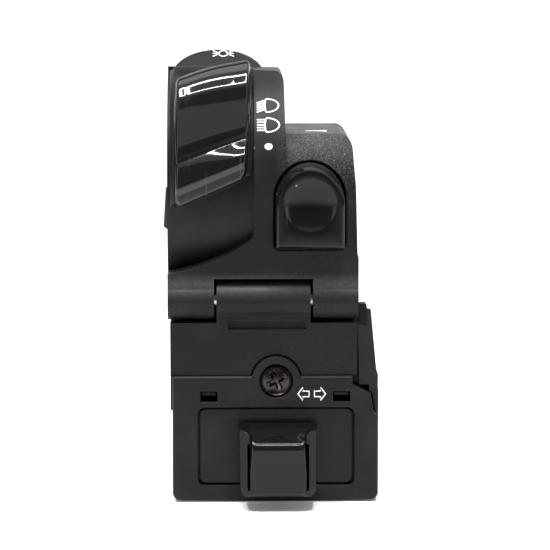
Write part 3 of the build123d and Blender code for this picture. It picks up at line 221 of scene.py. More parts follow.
# Lights: a name, its place, what it faces, its width and depth, and the setting of its power.
LIGHTS = (
    ("light_above", (0.0, -0.1, 0.75), (0.0, 0.0, 0.0), 1.1, 0.9, "top_light"),
    ("light_left", (-0.8, -0.35, 0.25), (0.0, 0.0, 0.0), 0.35, 0.8, "side_light"),
    ("light_right", (0.8, -0.3, 0.3), (0.0, 0.0, 0.0), 0.35, 0.8, "side_light"),
    ("light_backdrop", (0.0, 0.2, 0.9), (0.0, 0.65, 0.1), 1.2, 0.4, "backdrop_light"),
    ("light_ring_front", (-0.08, -0.34, 0.7), (-0.08, -0.34, 0.0), 0.42, 0.03, "strip_light"),
    ("light_ring_rear", (-0.08, -0.1, 0.7), (-0.08, -0.1, 0.0), 0.42, 0.03, "strip_light"),
    ("light_ring_left", (-0.28, -0.22, 0.7), (-0.28, -0.22, 0.0), 0.03, 0.21, "strip_light"),
    ("light_ring_right", (0.12, -0.22, 0.7), (0.12, -0.22, 0.0), 0.03, 0.21, "strip_light"),
)

# Colours that the finishes share.
DUST = (0.5, 0.49, 0.47)
DUST_ON_GLOSS = (0.6, 0.59, 0.57)
HAIRLINE = (0.09, 0.09, 0.092)
# Painted glints of the cast skin, and a painted highlight along the hinge barrel.
GLINT_GREY = (0.2, 0.2, 0.2)
BARREL_HIGHLIGHT = (0.1, 0.1, 0.1)
WORN_INK = (0.3, 0.3, 0.3)
PAPER = (0.95, 0.95, 0.95)
PAPER_CLOUD = (0.92, 0.92, 0.92)
# Painted shade of the paper towards the camera.
PAPER_SHADE_AHEAD = (0.4, 0.4, 0.4)
ROOM = (0.9, 0.93, 1.0, 1.0)


def weave(steps_u, steps_v, wrap_u=False, wrap_v=False):
    """Index quads of a grid of steps_u rows of steps_v points, joined end to end where asked."""
    rows = np.arange(steps_u if wrap_u else steps_u - 1)
    columns = np.arange(steps_v if wrap_v else steps_v - 1)
    row, column = np.meshgrid(rows, columns, indexing="ij")
    below = (row + 1) % steps_u
    beside = (column + 1) % steps_v
    corners = (row * steps_v + column, below * steps_v + column,
               below * steps_v + beside, row * steps_v + beside)
    return np.stack([corner.ravel() for corner in corners], axis=1).tolist()


def in_mm(length):
    """A length from a property in metres, as whole nanometres in millimetres."""
    return round(length / MM, 6)


def border(grid):
    """The outer points of a grid in order: along its first row, down, back along its last row and up."""
    return np.concatenate([grid[0, :-1], grid[:-1, -1], grid[-1, :0:-1], grid[:0:-1, 0]])


def eased(count):
    """Shares from 0 to 1 that crowd at both ends: (1 - cos t) / 2."""
    return 0.5 - 0.5 * np.cos(np.linspace(0.0, math.pi, count))


def shape(name, points, faces, body, slot, finish, smooth_angle=35.0):
    """One closed piece from its points in millimetres and its faces, on its body and with its finish."""
    mesh = bpy.data.meshes.new(name)
    mesh.from_pydata((np.asarray(points).reshape(-1, 3) * MM).tolist(), [], faces)
    work = bmesh.new()
    work.from_mesh(mesh)
    bmesh.ops.remove_doubles(work, verts=work.verts, dist=0.002 * MM)
    bmesh.ops.recalc_face_normals(work, faces=work.faces)
    work.to_mesh(mesh)
    work.free()
    mesh.shade_smooth()
    mesh.set_sharp_from_angle(angle=math.radians(smooth_angle))
    piece = bpy.data.objects.new(name, mesh)
    bpy.context.scene.collection.objects.link(piece)
    mesh.materials.append(finish)
    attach(piece, body)
    return piece


def tube(rings, closed=False):
    """Points and faces of a skin over rings of equal count, with a flat cap at each end unless it closes."""
    count, around = rings.shape[:2]
    faces = weave(count, around, wrap_u=closed, wrap_v=True)
    if not closed:
        faces.append(list(range(around)))
        faces.append([(count - 1) * around + index for index in reversed(range(around))])
    return rings.reshape(-1, 3), faces


def stroke(line, place, half_width, lift, sink, closed=False):
    """A raised line: a flat path set on a surface by place, with a thin box section carried along it.

    Each ring is the path's point plus or minus half the width along the cross product of the surface's
    normal and the path's direction, at the sunk and at the lifted level.
    """
    centre, normal = place(line)
    if closed:
        along = np.roll(centre, -1, axis=0) - np.roll(centre, 1, axis=0)
    else:
        along = np.gradient(centre, axis=0)
    along /= np.linalg.norm(along, axis=1, keepdims=True)
    side = np.cross(normal, along)
    side /= np.linalg.norm(side, axis=1, keepdims=True)
    rings = np.stack([centre + side * (way * half_width) + normal * level
                      for way, level in ((-1.0, -sink), (1.0, -sink), (1.0, lift), (-1.0, lift))], axis=1)
    return tube(rings, closed)


def slab(top, bottom):
    """Points and faces of a closed slab between two grids of equal size."""
    rows, columns = top.shape[:2]
    count = rows * columns
    rim = border(np.arange(count).reshape(rows, columns))
    after = np.roll(rim, -1)
    skin = np.array(weave(rows, columns))
    walls = np.stack([rim, rim + count, after + count, after], axis=1)
    faces = np.concatenate([skin, skin[:, ::-1] + count, walls])
    return np.concatenate([top.reshape(-1, 3), bottom.reshape(-1, 3)]), faces.tolist()


def gather(parts):
    """Several pairs of points and faces joined into one pair."""
    points, faces, offset = [], [], 0
    for some_points, some_faces in parts:
        points.append(np.asarray(some_points).reshape(-1, 3))
        faces.extend([[index + offset for index in face] for face in some_faces])
        offset += len(points[-1])
    return np.concatenate(points), faces


def arc(centre, radii, start, end, steps):
    """Points of an elliptical arc in the flat: the centre plus the radii times (cos t, sin t)."""
    turn = np.radians(np.linspace(start, end, steps))
    return np.stack([centre[0] + radii[0] * np.cos(turn), centre[1] + radii[1] * np.sin(turn)], axis=1)


def rings_about(x, z, turns, stations):
    """Upright rings round a point, x + r cos t and z + r sin t, each with its radius r and its depth."""
    return np.stack([
        np.stack(np.broadcast_arrays(x + radius * np.cos(turns), depth, z + radius * np.sin(turns)), axis=-1)
        for radius, depth in stations
    ])


def on_plane(origin, right, up):
    """Placer for a flat face: millimetres right and up from an origin."""
    origin, right, up = (np.array(part, float) for part in (origin, right, up))
    right /= np.linalg.norm(right)
    up /= np.linalg.norm(up)
    normal = np.cross(right, up)

    def place(line):
        line = np.asarray(line, float)
        points = origin + line[:, :1] * right + line[:, 1:] * up
        return points, np.broadcast_to(normal, points.shape).copy()
    return place


def on_node(name, start, way):
    """Placer for the flat part of a node that a straight line from a start meets."""
    tree = BVHTree.FromObject(NODES[name], bpy.context.evaluated_depsgraph_get())
    hit, normal, _, _ = tree.ray_cast(Vector(start) * MM, Vector(way))
    normal = -normal if normal.dot(Vector(way)) > 0.0 else normal
    return on_plane(hit / MM, RIGHT, normal.cross(Vector(RIGHT)))


def on_drum(x, angle):
    """Placer for the drum: millimetres right and up along its curve from a station and an angle."""

    def place(line):
        line = np.asarray(line, float)
        turn = np.radians(angle) + line[:, 1] / DRUM_RADIUS
        normal = np.stack([np.zeros(len(line)), -np.cos(turn), np.sin(turn)], axis=1)
        points = normal * DRUM_RADIUS + np.array([0.0, DRUM_Y, DRUM_Z])
        points[:, 0] = x + line[:, 0]
        return points, normal
    return place


def round_drum(x, radius, angle):
    """Points round the drum's axis, at a depth Y - r cos t and a height Z + r sin t."""
    turn = np.radians(angle)
    return np.stack(np.broadcast_arrays(x, DRUM_Y - radius * np.cos(turn), DRUM_Z + radius * np.sin(turn)),
                    axis=-1)


def object_place(tree):
    """The point of the surface in the object's own coordinates."""
    return tree.nodes.new("ShaderNodeTexCoord").outputs["Object"]


def node(tree, kind, **values):
    """A shader node with some of its inputs set; in their names an underscore stands for a space."""
    made = tree.nodes.new("ShaderNode" + kind)
    for label, value in values.items():
        made.inputs[label.replace("_", " ")].default_value = value
    return made


def maths(tree, operation, *values):
    """Arithmetic on masks and plain numbers, such as MULTIPLY_ADD for a times b plus c."""
    made = tree.nodes.new("ShaderNodeMath")
    made.operation = operation
    for socket, value in zip(made.inputs, values):
        if isinstance(value, bpy.types.NodeSocket):
            tree.links.new(value, socket)
        else:
            socket.default_value = value
    return made.outputs[0]


def noise(tree, place, scale, detail=3.0, roughness=0.55):
    """How cloudy a place is, from a noise texture."""
    texture = node(tree, "TexNoise", Scale=scale, Detail=detail, Roughness=roughness)
    tree.links.new(place, texture.inputs["Vector"])
    return texture.outputs["Fac"]


def ramp(tree, value, low, high, out_low=0.0, out_high=1.0):
    """A value mapped from one range to another and held inside it."""
    made = node(tree, "MapRange", From_Min=low, From_Max=high, To_Min=out_low, To_Max=out_high)
    tree.links.new(value, made.inputs["Value"])
    return made.outputs["Result"]


def axes_of(tree, place):
    """The three numbers of a place."""
    made = tree.nodes.new("ShaderNodeSeparateXYZ")
    tree.links.new(place, made.inputs[0])
    return made.outputs


def effect(name):
    """A new node group and the place that it reads."""
    tree = bpy.data.node_groups.new(name, "ShaderNodeTree")
    return tree, object_place(tree)


def put_out(tree, **masks):
    """Gives a group an output for each mask, times an input of the same name that says how much of it."""
    for label in masks:
        tree.interface.new_socket(label, in_out="INPUT", socket_type="NodeSocketFloat").default_value = 1.0
        tree.interface.new_socket(label, in_out="OUTPUT", socket_type="NodeSocketFloat")
    given, out = tree.nodes.new("NodeGroupInput").outputs, tree.nodes.new("NodeGroupOutput").inputs
    for label, mask in masks.items():
        tree.links.new(maths(tree, "MULTIPLY", mask, given[label]), out[label])


def moulded_grain():
    """Fine irregular pebbles of moulded or powder coated faces, as a height."""
    tree, place = effect("moulded_grain")
    pebble = node(tree, "TexVoronoi", Scale=2600.0, Randomness=1.0)
    tree.links.new(place, pebble.inputs["Vector"])
    fine = noise(tree, place, scale=5200.0, detail=2.0)
    put_out(tree, Height=maths(tree, "MULTIPLY_ADD", pebble.outputs["Distance"], 0.6, fine))


def rubbed_haze():
    """Faint marks of handling: cloudy haze, and a few fine crossing hairlines, as masks."""
    tree, place = effect("rubbed_haze")
    cloud = noise(tree, place, scale=70.0, detail=5.0)
    stretch = node(tree, "Mapping", Rotation=(0.5, 0.9, 0.3), Scale=(900.0, 40.0, 40.0))
    tree.links.new(place, stretch.inputs["Vector"])
    hair = noise(tree, stretch.outputs["Vector"], scale=1.0, detail=1.0, roughness=0.5)
    put_out(tree, Haze=ramp(tree, cloud, 0.48, 0.72), Hairline=ramp(tree, hair, 0.71, 0.76))


def fine_dust():
    """Small light specks that lie sparsely on the surface, as a mask."""
    tree, place = effect("fine_dust")
    cell = node(tree, "TexVoronoi", Scale=420.0)
    tree.links.new(place, cell.inputs["Vector"])
    near = ramp(tree, cell.outputs["Distance"], 0.05, 0.12, 1.0, 0.0)
    few = ramp(tree, noise(tree, place, scale=130.0, detail=1.0), 0.66, 0.7)
    put_out(tree, Speck=maths(tree, "MULTIPLY", near, few))


def cast_sparkle():
    """Painted glints of the rougher cast skin on the shoulder and the knuckle, and a painted highlight on the
    hinge barrel.

    The glints are light specks that fade out to the left and below the shoulder, as the face turns from the
    light; the highlight lies along the barrel's lit front.
    """
    tree, place = effect("cast_sparkle")
    axes = axes_of(tree, place)
    # Painted glints: light specks in the colour where the rough skin catches the light.
    glint = ramp(tree, noise(tree, place, scale=3200.0, detail=2.0, roughness=0.7), 0.5, 0.68)
    right = ramp(tree, axes["X"], 0.0025, 0.006)
    shoulder = ramp(tree, axes["Z"], 0.016, 0.028, 0.12, 1.0)
    zone = maths(tree, "MULTIPLY", right, shoulder)
    # Painted highlight: a lighter band along the barrel's lit front.
    above = ramp(tree, axes["Z"], 0.0, 0.004)
    below = ramp(tree, axes["Z"], 0.0035, 0.006, 1.0, 0.0)
    ahead = ramp(tree, axes["Y"], -0.022, -0.019, 1.0, 0.0)
    cloud = ramp(tree, noise(tree, place, scale=900.0, detail=5.0, roughness=0.7), 0.3, 0.7, 0.5, 1.0)
    band = maths(tree, "MULTIPLY", above, below)
    barrel_highlight = maths(tree, "MULTIPLY", band, maths(tree, "MULTIPLY", ahead, cloud))
    put_out(tree, Spark=maths(tree, "MULTIPLY", glint, zone), Rub=barrel_highlight)


def use(tree, make, **amounts):
    """An effect placed in a material with its own amounts, its node group made when first asked for."""
    if make.__name__ not in bpy.data.node_groups:
        make()
    placed = tree.nodes.new("ShaderNodeGroup")
    placed.node_tree = bpy.data.node_groups[make.__name__]
    for label, amount in amounts.items():
        placed.inputs[label].default_value = amount
    return placed.outputs


def tinted(tree, colour, tint, mask, amount=1.0):
    """A colour, plain or from another node, mixed towards a tint by an amount of a mask."""
    mix = tree.nodes.new("ShaderNodeMix")
    mix.data_type = "RGBA"
    tree.links.new(maths(tree, "MULTIPLY", mask, amount), mix.inputs["Factor"])
    if isinstance(colour, bpy.types.NodeSocket):
        tree.links.new(colour, mix.inputs["A"])
    else:
        mix.inputs["A"].default_value = (*colour, 1.0)
    mix.inputs["B"].default_value = (*tint, 1.0)
    return mix.outputs["Result"]


def scaled(colour, share, more=0.0):
    """A colour times a share plus a little more, held at white."""
    return tuple(min(1.0, part * share + more) for part in colour)


def bare_material(name, metallic=0.0, specular=0.5):
    """A new material; returns it, its node tree and its Principled shader."""
    material = bpy.data.materials.new(name)
    material.use_nodes = True
    shader = material.node_tree.nodes["Principled BSDF"]
    shader.inputs["Metallic"].default_value = metallic
    shader.inputs["Specular IOR Level"].default_value = specular
    return material, material.node_tree, shader


def feed(tree, shader, colour, roughness, height, distance, strength=1.0, soft_edge=0.0):
    """Feeds a colour, a roughness and a normal from a height, over edges that read as rounded if asked for."""
    tree.links.new(colour, shader.inputs["Base Color"])
    tree.links.new(roughness, shader.inputs["Roughness"])
    bump = node(tree, "Bump", Distance=distance, Strength=strength)
    tree.links.new(height, bump.inputs["Height"])
    if soft_edge:
        edge = node(tree, "Bevel", Radius=soft_edge)
        edge.samples = 6
        tree.links.new(edge.outputs["Normal"], bump.inputs["Normal"])
    tree.links.new(bump.outputs["Normal"], shader.inputs["Normal"])


def coated(name, colour, roughness, depth=0.00002, soft_edge=0.00035, dust=0.25, glints=0.0):
    """Satin black coat or moulding: grain in the height, haze and dust in the colour, a rolling gloss.

    A coat with glints also has painted glints on the cast skin and a painted highlight along the barrel.
    """
    material, tree, shader = bare_material(name, specular=0.17)
    base = tinted(tree, colour, scaled(colour, 1.7, 0.01), use(tree, rubbed_haze, Haze=0.5)["Haze"])
    base = tinted(tree, base, DUST, use(tree, fine_dust, Speck=dust)["Speck"])
    if glints:
        cast = use(tree, cast_sparkle, Spark=glints, Rub=0.6)
        # Painted glints and a painted highlight, mixed into the coat's colour.
        base = tinted(tree, base, GLINT_GREY, cast["Spark"])
        base = tinted(tree, base, BARREL_HIGHLIGHT, cast["Rub"])
    rolling = noise(tree, object_place(tree), scale=260.0, detail=4.0)
    gloss = ramp(tree, rolling, 0.3, 0.7, roughness - 0.05, roughness + 0.07)
    feed(tree, shader, base, gloss, use(tree, moulded_grain)["Height"], depth, soft_edge=soft_edge)
    return material


def polished(name, colour, roughness, specular):
    """Glossy black thumb surface: clear, with faint haze, hairlines, a slight ripple and a few specks."""
    material, tree, shader = bare_material(name, specular=specular)
    marks = use(tree, rubbed_haze, Hairline=0.35)
    base = tinted(tree, colour, HAIRLINE, marks["Hairline"])
    base = tinted(tree, base, DUST_ON_GLOSS, use(tree, fine_dust, Speck=0.5)["Speck"])
    gloss = ramp(tree, marks["Haze"], 0.0, 1.0, roughness, roughness + 0.06)
    ripple = noise(tree, object_place(tree), scale=160.0, detail=2.0)
    feed(tree, shader, base, gloss, ripple, 0.00002, strength=0.5)
    return material


def metal(name, colour, roughness, along=(1.0, 1.0, 1.0)):
    """Bare or plated metal with fine drawn lines along one way and a patchy gloss."""
    material, tree, shader = bare_material(name, metallic=1.0)
    place = object_place(tree)
    drawn = node(tree, "Mapping", Scale=along)
    tree.links.new(place, drawn.inputs["Vector"])
    lines = noise(tree, drawn.outputs["Vector"], scale=1800.0, detail=2.0)
    cloud = noise(tree, place, scale=300.0)
    base = tinted(tree, colour, scaled(colour, 0.75), cloud, 0.6)
    gloss = ramp(tree, cloud, 0.3, 0.7, roughness - 0.06, roughness + 0.08)
    feed(tree, shader, base, gloss, lines, 0.000004)
    return material


def board_lacquer(name, colour):
    """Lacquered circuit board with faint paler tracks under the lacquer."""
    material, tree, shader = bare_material(name)
    place = object_place(tree)
    bricks = node(tree, "TexBrick", Scale=300.0, Mortar_Size=0.06)
    tree.links.new(place, bricks.inputs["Vector"])
    tracks = bricks.outputs["Fac"]
    base = tinted(tree, colour, scaled(colour, 1.6), tracks, 0.8)
    gloss = ramp(tree, noise(tree, place, scale=400.0), 0.3, 0.7, 0.28, 0.4)
    feed(tree, shader, base, gloss, tracks, 0.00001, strength=0.6)
    return material


def printed(name, colour):
    """Printed sign ink, a little worn and uneven."""
    material, tree, shader = bare_material(name)
    worn = ramp(tree, noise(tree, object_place(tree), scale=1500.0, detail=4.0), 0.56, 0.75)
    base = tinted(tree, colour, WORN_INK, worn, 0.5)
    feed(tree, shader, base, ramp(tree, worn, 0.0, 1.0, 0.45, 0.6), worn, 0.000005, strength=0.5)
    return material


def pale_paper(name):
    """Pale paper, faintly cloudy, darkened by painted shade towards the camera so that its reflection stays
    calm, with a faint painted glow.
    """
    material, tree, shader = bare_material(name, specular=0.2)
    place = object_place(tree)
    colour = tinted(tree, PAPER, PAPER_CLOUD, noise(tree, place, scale=3.0), 0.5)
    # Painted shade: the paper darkens towards the camera.
    ahead = ramp(tree, axes_of(tree, place)["Y"], -0.34, -0.12, 1.0, 0.0)
    tree.links.new(tinted(tree, colour, PAPER_SHADE_AHEAD, ahead), shader.inputs["Base Color"])
    shader.inputs["Roughness"].default_value = 0.9
    # Painted light: the paper glows faintly, though it is no lamp.
    shader.inputs["Emission Color"].default_value = (1.0, 1.0, 1.0, 1.0)
    shader.inputs["Emission Strength"].default_value = 0.1
    return material


def finish_nodes(finish, *names):
    """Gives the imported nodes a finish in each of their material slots."""
    for name in names:
        mesh = NODES[name].data
        if not mesh.materials:
            mesh.materials.append(finish)
        for index in range(len(mesh.materials)):
            mesh.materials[index] = finish


def pad_facing(share, place):
    """Angle that the pad's skin faces, at a share of the way down and a place p from the left to the right.

    The stations of the two long edges are joined by t = (p + 3 p^2 - 2 p^3) / 2 and their facings by t^3.
    Between two stations the facing goes straight from the one to the other.
    """
    across = 0.5 * place + 0.5 * place * place * (3.0 - 2.0 * place)
    stations = [left + (right - left) * across for left, right in zip(PAD_LEFT_SHARES, PAD_RIGHT_SHARES)]
    facings = [left + (right - left) * across ** 3
               for left, right in zip(PAD_LEFT_FACINGS, PAD_RIGHT_FACINGS)]
    angle = facings[0]
    for low, high, first, last in zip(stations, stations[1:], facings, facings[1:]):
        angle = angle + (last - first) * np.clip((share - low) / (high - low), 0.0, 1.0)
    return angle


def rocker_pad(finish, rim_finish, crown):
    """Thumb pad of the rocker on its drum, and the fine bead round its foot.

    A point of the grid lies at a station x, at an angle between the top and the low edge and at the radius
    seat + height * roll. The height is the running sum, from the top, of the tangent of the angle between
    the skin's facing and the drum's, less the crown times (2 a - 1)^4 for a share a across. The roll is the
    quarter circle sqrt(1 - (1 - d / w)^2) of the distance d to the pad's edge. Rows near the top and the low
    edge are shorter at each end by R - sqrt(R^2 - (R - d)^2), which rounds the four corners.
    """
    low, high = (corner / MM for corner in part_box("light_rocker_pad"))
    rows, columns = ((260, 90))
    share = np.linspace(0.0, 1.0, rows)[:, None]
    middle_span = math.radians((PAD_TOP_LEFT + PAD_TOP_RIGHT - PAD_LOW_LEFT - PAD_LOW_RIGHT) / 2)
    from_top = share * PAD_SEAT * middle_span
    from_low = (1.0 - share) * PAD_SEAT * middle_span
    inset = sum(radius - np.sqrt(radius ** 2 - np.clip(radius - away, 0.0, radius) ** 2)
                for radius, away in ((PAD_TOP_CORNER, from_top), (PAD_LOW_CORNER, from_low)))
    across = eased(columns)[None, :]
    left = low.x - PAD_PAST_LEFT + inset
    right = high.x + PAD_PAST_RIGHT - PAD_NARROWING * share - inset
    x = left + across * (right - left)
    place = (x - low.x) / (high.x - low.x)
    top = PAD_TOP_LEFT + place * (PAD_TOP_RIGHT - PAD_TOP_LEFT)
    end = PAD_LOW_LEFT + place * (PAD_LOW_RIGHT - PAD_LOW_LEFT)
    angle = top + share * (end - top)
    leaning = np.clip(pad_facing(share, place) - angle, -PAD_STEEPEST, PAD_STEEPEST)
    rise = np.cumsum(np.tan(np.radians(leaning)), axis=0) * (PAD_SEAT + PAD_MIDDLE) * middle_span / rows
    height = PAD_LEAST + rise - rise.min(axis=0) - crown * (2.0 * across - 1.0) ** 4
    edge = np.minimum(np.minimum(x - left, right - x), np.minimum(from_top, from_low))
    roll = np.sqrt(1.0 - (1.0 - np.clip(edge / PAD_ROLL, 0.0, 1.0)) ** 2)
    skin = round_drum(x, PAD_SEAT + height * roll, angle)
    pad = shape("rocker_pad", *slab(skin, round_drum(x, PAD_SEAT - PAD_FOOT, angle)), "light_rocker",
                "gloss_black", finish, smooth_angle=50.0)
    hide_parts("light_rocker_pad")
    rim = border(round_drum(x, PAD_SEAT + RIM_SEAT, angle))[::RIM_EVERY]
    outward = rim - np.array([0.0, DRUM_Y, DRUM_Z])
    outward[:, 0] = 0.0
    outward /= np.linalg.norm(outward, axis=1, keepdims=True)
    bead = stroke(rim, lambda line: (line, outward), RIM_HALF, RIM_HALF, RIM_SINK, closed=True)
    shape("rocker_pad_rim", *bead, "light_rocker", "satin_plastic", rim_finish, smooth_angle=80.0)


def arch_radius(turns, half_width, spring, rise, foot):
    """Distance from the dish's middle to an arch in each direction: a half ellipse on straight flanks."""
    over = arc((HORN_X, spring), (half_width, rise), 0.0, 180.0, 181)
    flank = np.linspace(spring, foot, 40)
    left = np.stack([np.full_like(flank, HORN_X - half_width), flank], axis=1)
    under = arc((HORN_X, foot), (half_width, 0.0), 180.0, 360.0, 60)
    right = np.stack([np.full_like(flank, HORN_X + half_width), flank[::-1]], axis=1)
    away = np.concatenate([over, left, under, right]) - np.array((HORN_X, DISH_Z))
    around = np.unwrap(np.arctan2(away[:, 1], away[:, 0]))
    order = np.argsort(around)
    return np.interp(turns, around[order], np.hypot(away[:, 0], away[:, 1])[order], period=2.0 * math.pi)


def horn_cap(finish, dish_depth):
    """Cap of the horn button: rings round the dish's middle, each a radius and a depth behind the face.

    The dish is the bowl D (1 - (r / R)^2), and the flat face round it ends at the front's arch. From there
    to the body's arch a share s lies s^1.25 of the way back. The body starts 0.9 + 3.6 u^1.5 behind the
    face for a share u upward, so that the crown leans back.
    """
    low, high = (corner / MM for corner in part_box("horn_button"))
    turns = np.linspace(0.0, 2.0 * math.pi, 256, endpoint=False)
    front = arch_radius(turns, *HORN_FRONT)
    body = arch_radius(turns, *HORN_BODY)
    lean = HORN_SHOULDER + HORN_LEAN * np.clip(np.sin(turns), 0.0, 1.0) ** 1.5
    stations = [(radius, dish_depth * (1.0 - (radius / DISH_RADIUS) ** 2))
                for radius in np.linspace(0.02, 1.0, 24) * DISH_RADIUS]
    stations += [(DISH_RADIUS + out, back) for out, back in DISH_LIP]
    stations += [(front * HORN_FLAT, 0.0), (front, HORN_EDGE)]
    stations += [(front + (body - front) * share, HORN_EDGE + (lean - HORN_EDGE) * share ** 1.25)
                 for share in HORN_SHARES]
    stations += [(body, lean + HORN_SKIRT), (body, high.y - low.y - HORN_SHORTER)]
    rings = rings_about(HORN_X, DISH_Z, turns, [(radius, low.y + back) for radius, back in stations])
    cap = shape("horn_cap", *tube(rings), "horn_push_button", "gloss_black", finish, smooth_angle=40.0)
    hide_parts("horn_button")


def knob_cap(finish, depth):
    """Turn signal knob: how far the cap stands off its base is the smallest of a few slopes.

    They are the flat front, the ramp on top with the flanks that rise beside it, the front's bevels, the
    cheeks, the outer walls and the bevel below. The smallest is taken softly, as -ln(sum exp(-k s)) / k,
    and a narrow groove is cut between the front and each cheek.
    """
    share = eased(200)
    z = KNOB_TOP + share[None, :] * (KNOB_LOW - KNOB_TOP)
    from_low = np.clip(z - KNOB_LOW, 0.0, KNOB_CORNER)
    half = KNOB_HALF - (KNOB_CORNER - np.sqrt(KNOB_CORNER ** 2 - (KNOB_CORNER - from_low) ** 2))
    x = KNOB_X + (2.0 * share[:, None] - 1.0) * half
    z = np.broadcast_to(z, x.shape)
    aside = np.abs(x - KNOB_X)
    beside_ramp = np.clip(aside - (RAMP_HALF + (z - RAMP_LOW) * RAMP_SPREAD), 0.0, FLANK_REACH)
    beside_front = np.clip(CHEEK_INSIDE - aside, 0.0, 1.0)
    slopes = np.stack([
        np.full(x.shape, depth),
        KNOB_FOOT + RAMP_RISE * (KNOB_TOP - z) + FLANK_RISE * beside_ramp,
        depth + (FRONT_TOP - z) * FRONT_TOP_FALL,
        depth + FRONT_SIDE_FALL * (FRONT_HALF - aside),
        CHEEK_DEPTH - CHEEK_FALL * (aside - GROOVE_AT) + CHEEK_STEP * beside_front
        - CHEEK_LEAN * (z - CHEEK_LOW),
        SIDE_RISE * (half - aside) + KNOB_FOOT,
        TOP_RISE * (KNOB_TOP - z) + KNOB_FOOT,
        depth + LOW_BEVEL_FALL * (z - KNOB_LOW - LOW_BEVEL),
        LOW_RISE * (z - KNOB_LOW) + KNOB_FOOT,
    ])
    forward = -np.log(np.sum(np.exp(-KNOB_SHARPNESS * slopes), axis=0)) / KNOB_SHARPNESS
    groove = np.clip(1.0 - np.abs(aside - GROOVE_AT) / GROOVE_HALF, 0.0, 1.0)
    groove = groove * np.clip((z - GROOVE_LOW) / GROOVE_FADE, 0.0, 1.0)
    groove = GROOVE_DEPTH * groove * np.clip((GROOVE_TOP - z) / GROOVE_FADE, 0.0, 1.0)
    forward = np.maximum(forward - groove, KNOB_LEAST)
    front = np.stack([x, KNOB_BASE - forward, z], axis=-1)
    back = np.stack([x, np.full(x.shape, KNOB_BASE), z], axis=-1)
    stem = np.array([[(KNOB_X + side * STEM_HALF, y, STEM_Z + rise * STEM_RISE)
                      for side, rise in ((-1.0, -1.0), (1.0, -1.0), (1.0, 1.0), (-1.0, 1.0))]
                     for y in (STEM_START, STEM_END)])
    cap = shape("turn_knob_cap", *gather([slab(front, back), tube(stem)]), "turn_knob_body", "gloss_black",
                finish, smooth_angle=40.0)
    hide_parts("turn_knob")


def recess_arm(along, beside):
    """One arm of the cross: full along its middle, fading at its sides and running out at its ends."""
    side = np.clip((RECESS_HALF - np.abs(beside)) / RECESS_FADE, 0.0, 1.0)
    return side * np.clip((RECESS_REACH - np.abs(along)) / RECESS_RUNOUT, 0.0, 1.0)


def screw_head(finish):
    """Cover screw: a domed head with a tapering cross recess, on a plain shank.

    The face lies C r^2 / R behind its middle, and is pushed in by the recess's depth times the larger of
    its two arms.
    """
    low, high = (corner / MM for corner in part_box("cover_screw"))
    middle_x, middle_z = (low.x + high.x) / 2, (low.z + high.z) / 2
    radius = (high.x - low.x) / 2
    turns = np.linspace(0.0, 2.0 * math.pi, 96, endpoint=False)
    reach = np.linspace(SCREW_MIDDLE, radius - SCREW_EDGE, 40)[:, None]
    u, v = reach * np.cos(turns), reach * np.sin(turns)
    cosine, sine = RECESS_TURN
    along, beside = cosine * u + sine * v, cosine * v - sine * u
    cross = np.maximum(recess_arm(along, beside), recess_arm(beside, along))
    back = SCREW_CROWN * reach ** 2 / radius + RECESS_DEPTH * cross
    face = np.stack([middle_x + u, low.y + back, middle_z + v], axis=-1)
    bevel, side, under = SCREW_STEPS
    stations = ((radius - SCREW_BEVEL, bevel), (radius, side), (radius, under), (SHANK_RADIUS, under),
                (SHANK_RADIUS, high.y - low.y))
    rest = rings_about(middle_x, middle_z, turns, [(size, low.y + step) for size, step in stations])
    head = shape("cover_screw_head", *tube(np.concatenate([face, rest])), "clamp_lower", "screw_black",
                 finish, smooth_angle=40.0)
    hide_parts("cover_screw")


def line_sign(name, strokes, place, body, ink, sizes):
    """One printed sign out of its flat strokes, each a line and whether it closes."""
    half_width, lift = in_mm(sizes.sign_line), in_mm(sizes.sign_lift)
    parts = [stroke(line, place, half_width, lift, SIGN_SINK, closed) for line, closed in strokes]
    shape(name, *gather(parts), body, "cast_black", ink)


def filled_sign(name, outline, place, ink, lift):
    """One filled sign: its outline on the surface, sunk and lifted along the normal at its middle."""
    points, normal = place(outline)[0], place([[0.0, 0.0]])[1]
    shape(name, *tube(np.stack([points - SIGN_SINK * normal, points + lift * normal])), "upper_half",
          "cast_black", ink)


def beam(ray_heights, drop, lamp):
    """Strokes of a head light's sign: parallel rays that fall to the left by the drop, and the lamp.

    The lamp is a half ellipse to the right of its front, which bows slightly to the left.
    """
    start, end = RAY_ENDS
    rays = [(np.array([[end, height], [start, height - drop]]), False)
            for height in np.linspace(*ray_heights, RAY_COUNT)]
    left, right, half_height, bow = lamp
    bowl = arc((left, 0.0), (right - left, half_height), -90.0, 90.0, 19)
    front = arc((left, 0.0), (bow, half_height), 90.0, 270.0, 9)[1:-1]
    return rays + [(np.concatenate([bowl, front]), True)]


def sweep_points():
    """Points of the paper sweep: a floor, a quarter circle up and a wall, each row carried across."""
    across = np.linspace(-SWEEP_HALF, SWEEP_HALF, SWEEP_COLUMNS)
    bend = np.radians(np.linspace(0.0, 90.0, BEND_ROWS))
    bend_depth = BEND_Y + BEND_RADIUS * np.sin(bend)
    bend_height = BEND_RADIUS - BEND_RADIUS * np.cos(bend)
    depth = np.concatenate([SWEEP_FLOOR, bend_depth, [BEND_Y + BEND_RADIUS]])
    height = np.concatenate([np.zeros(len(SWEEP_FLOOR)), bend_height, [SWEEP_TOP]])
    height = height + CAD_BOX[0].z / MM - SWEEP_BELOW
    return np.stack(np.broadcast_arrays(across[:, None], depth, height), axis=2)


def set_up(name, data, place, way, axis):
    """A light or the camera in its place, turned so that one of its axes points a given way."""
    holder = bpy.data.objects.new(name, data)
    bpy.context.scene.collection.objects.link(holder)
    holder.location = place
    holder.rotation_mode = "QUATERNION"
    holder.rotation_quaternion = way.to_track_quat(axis, "Y")
    return holder


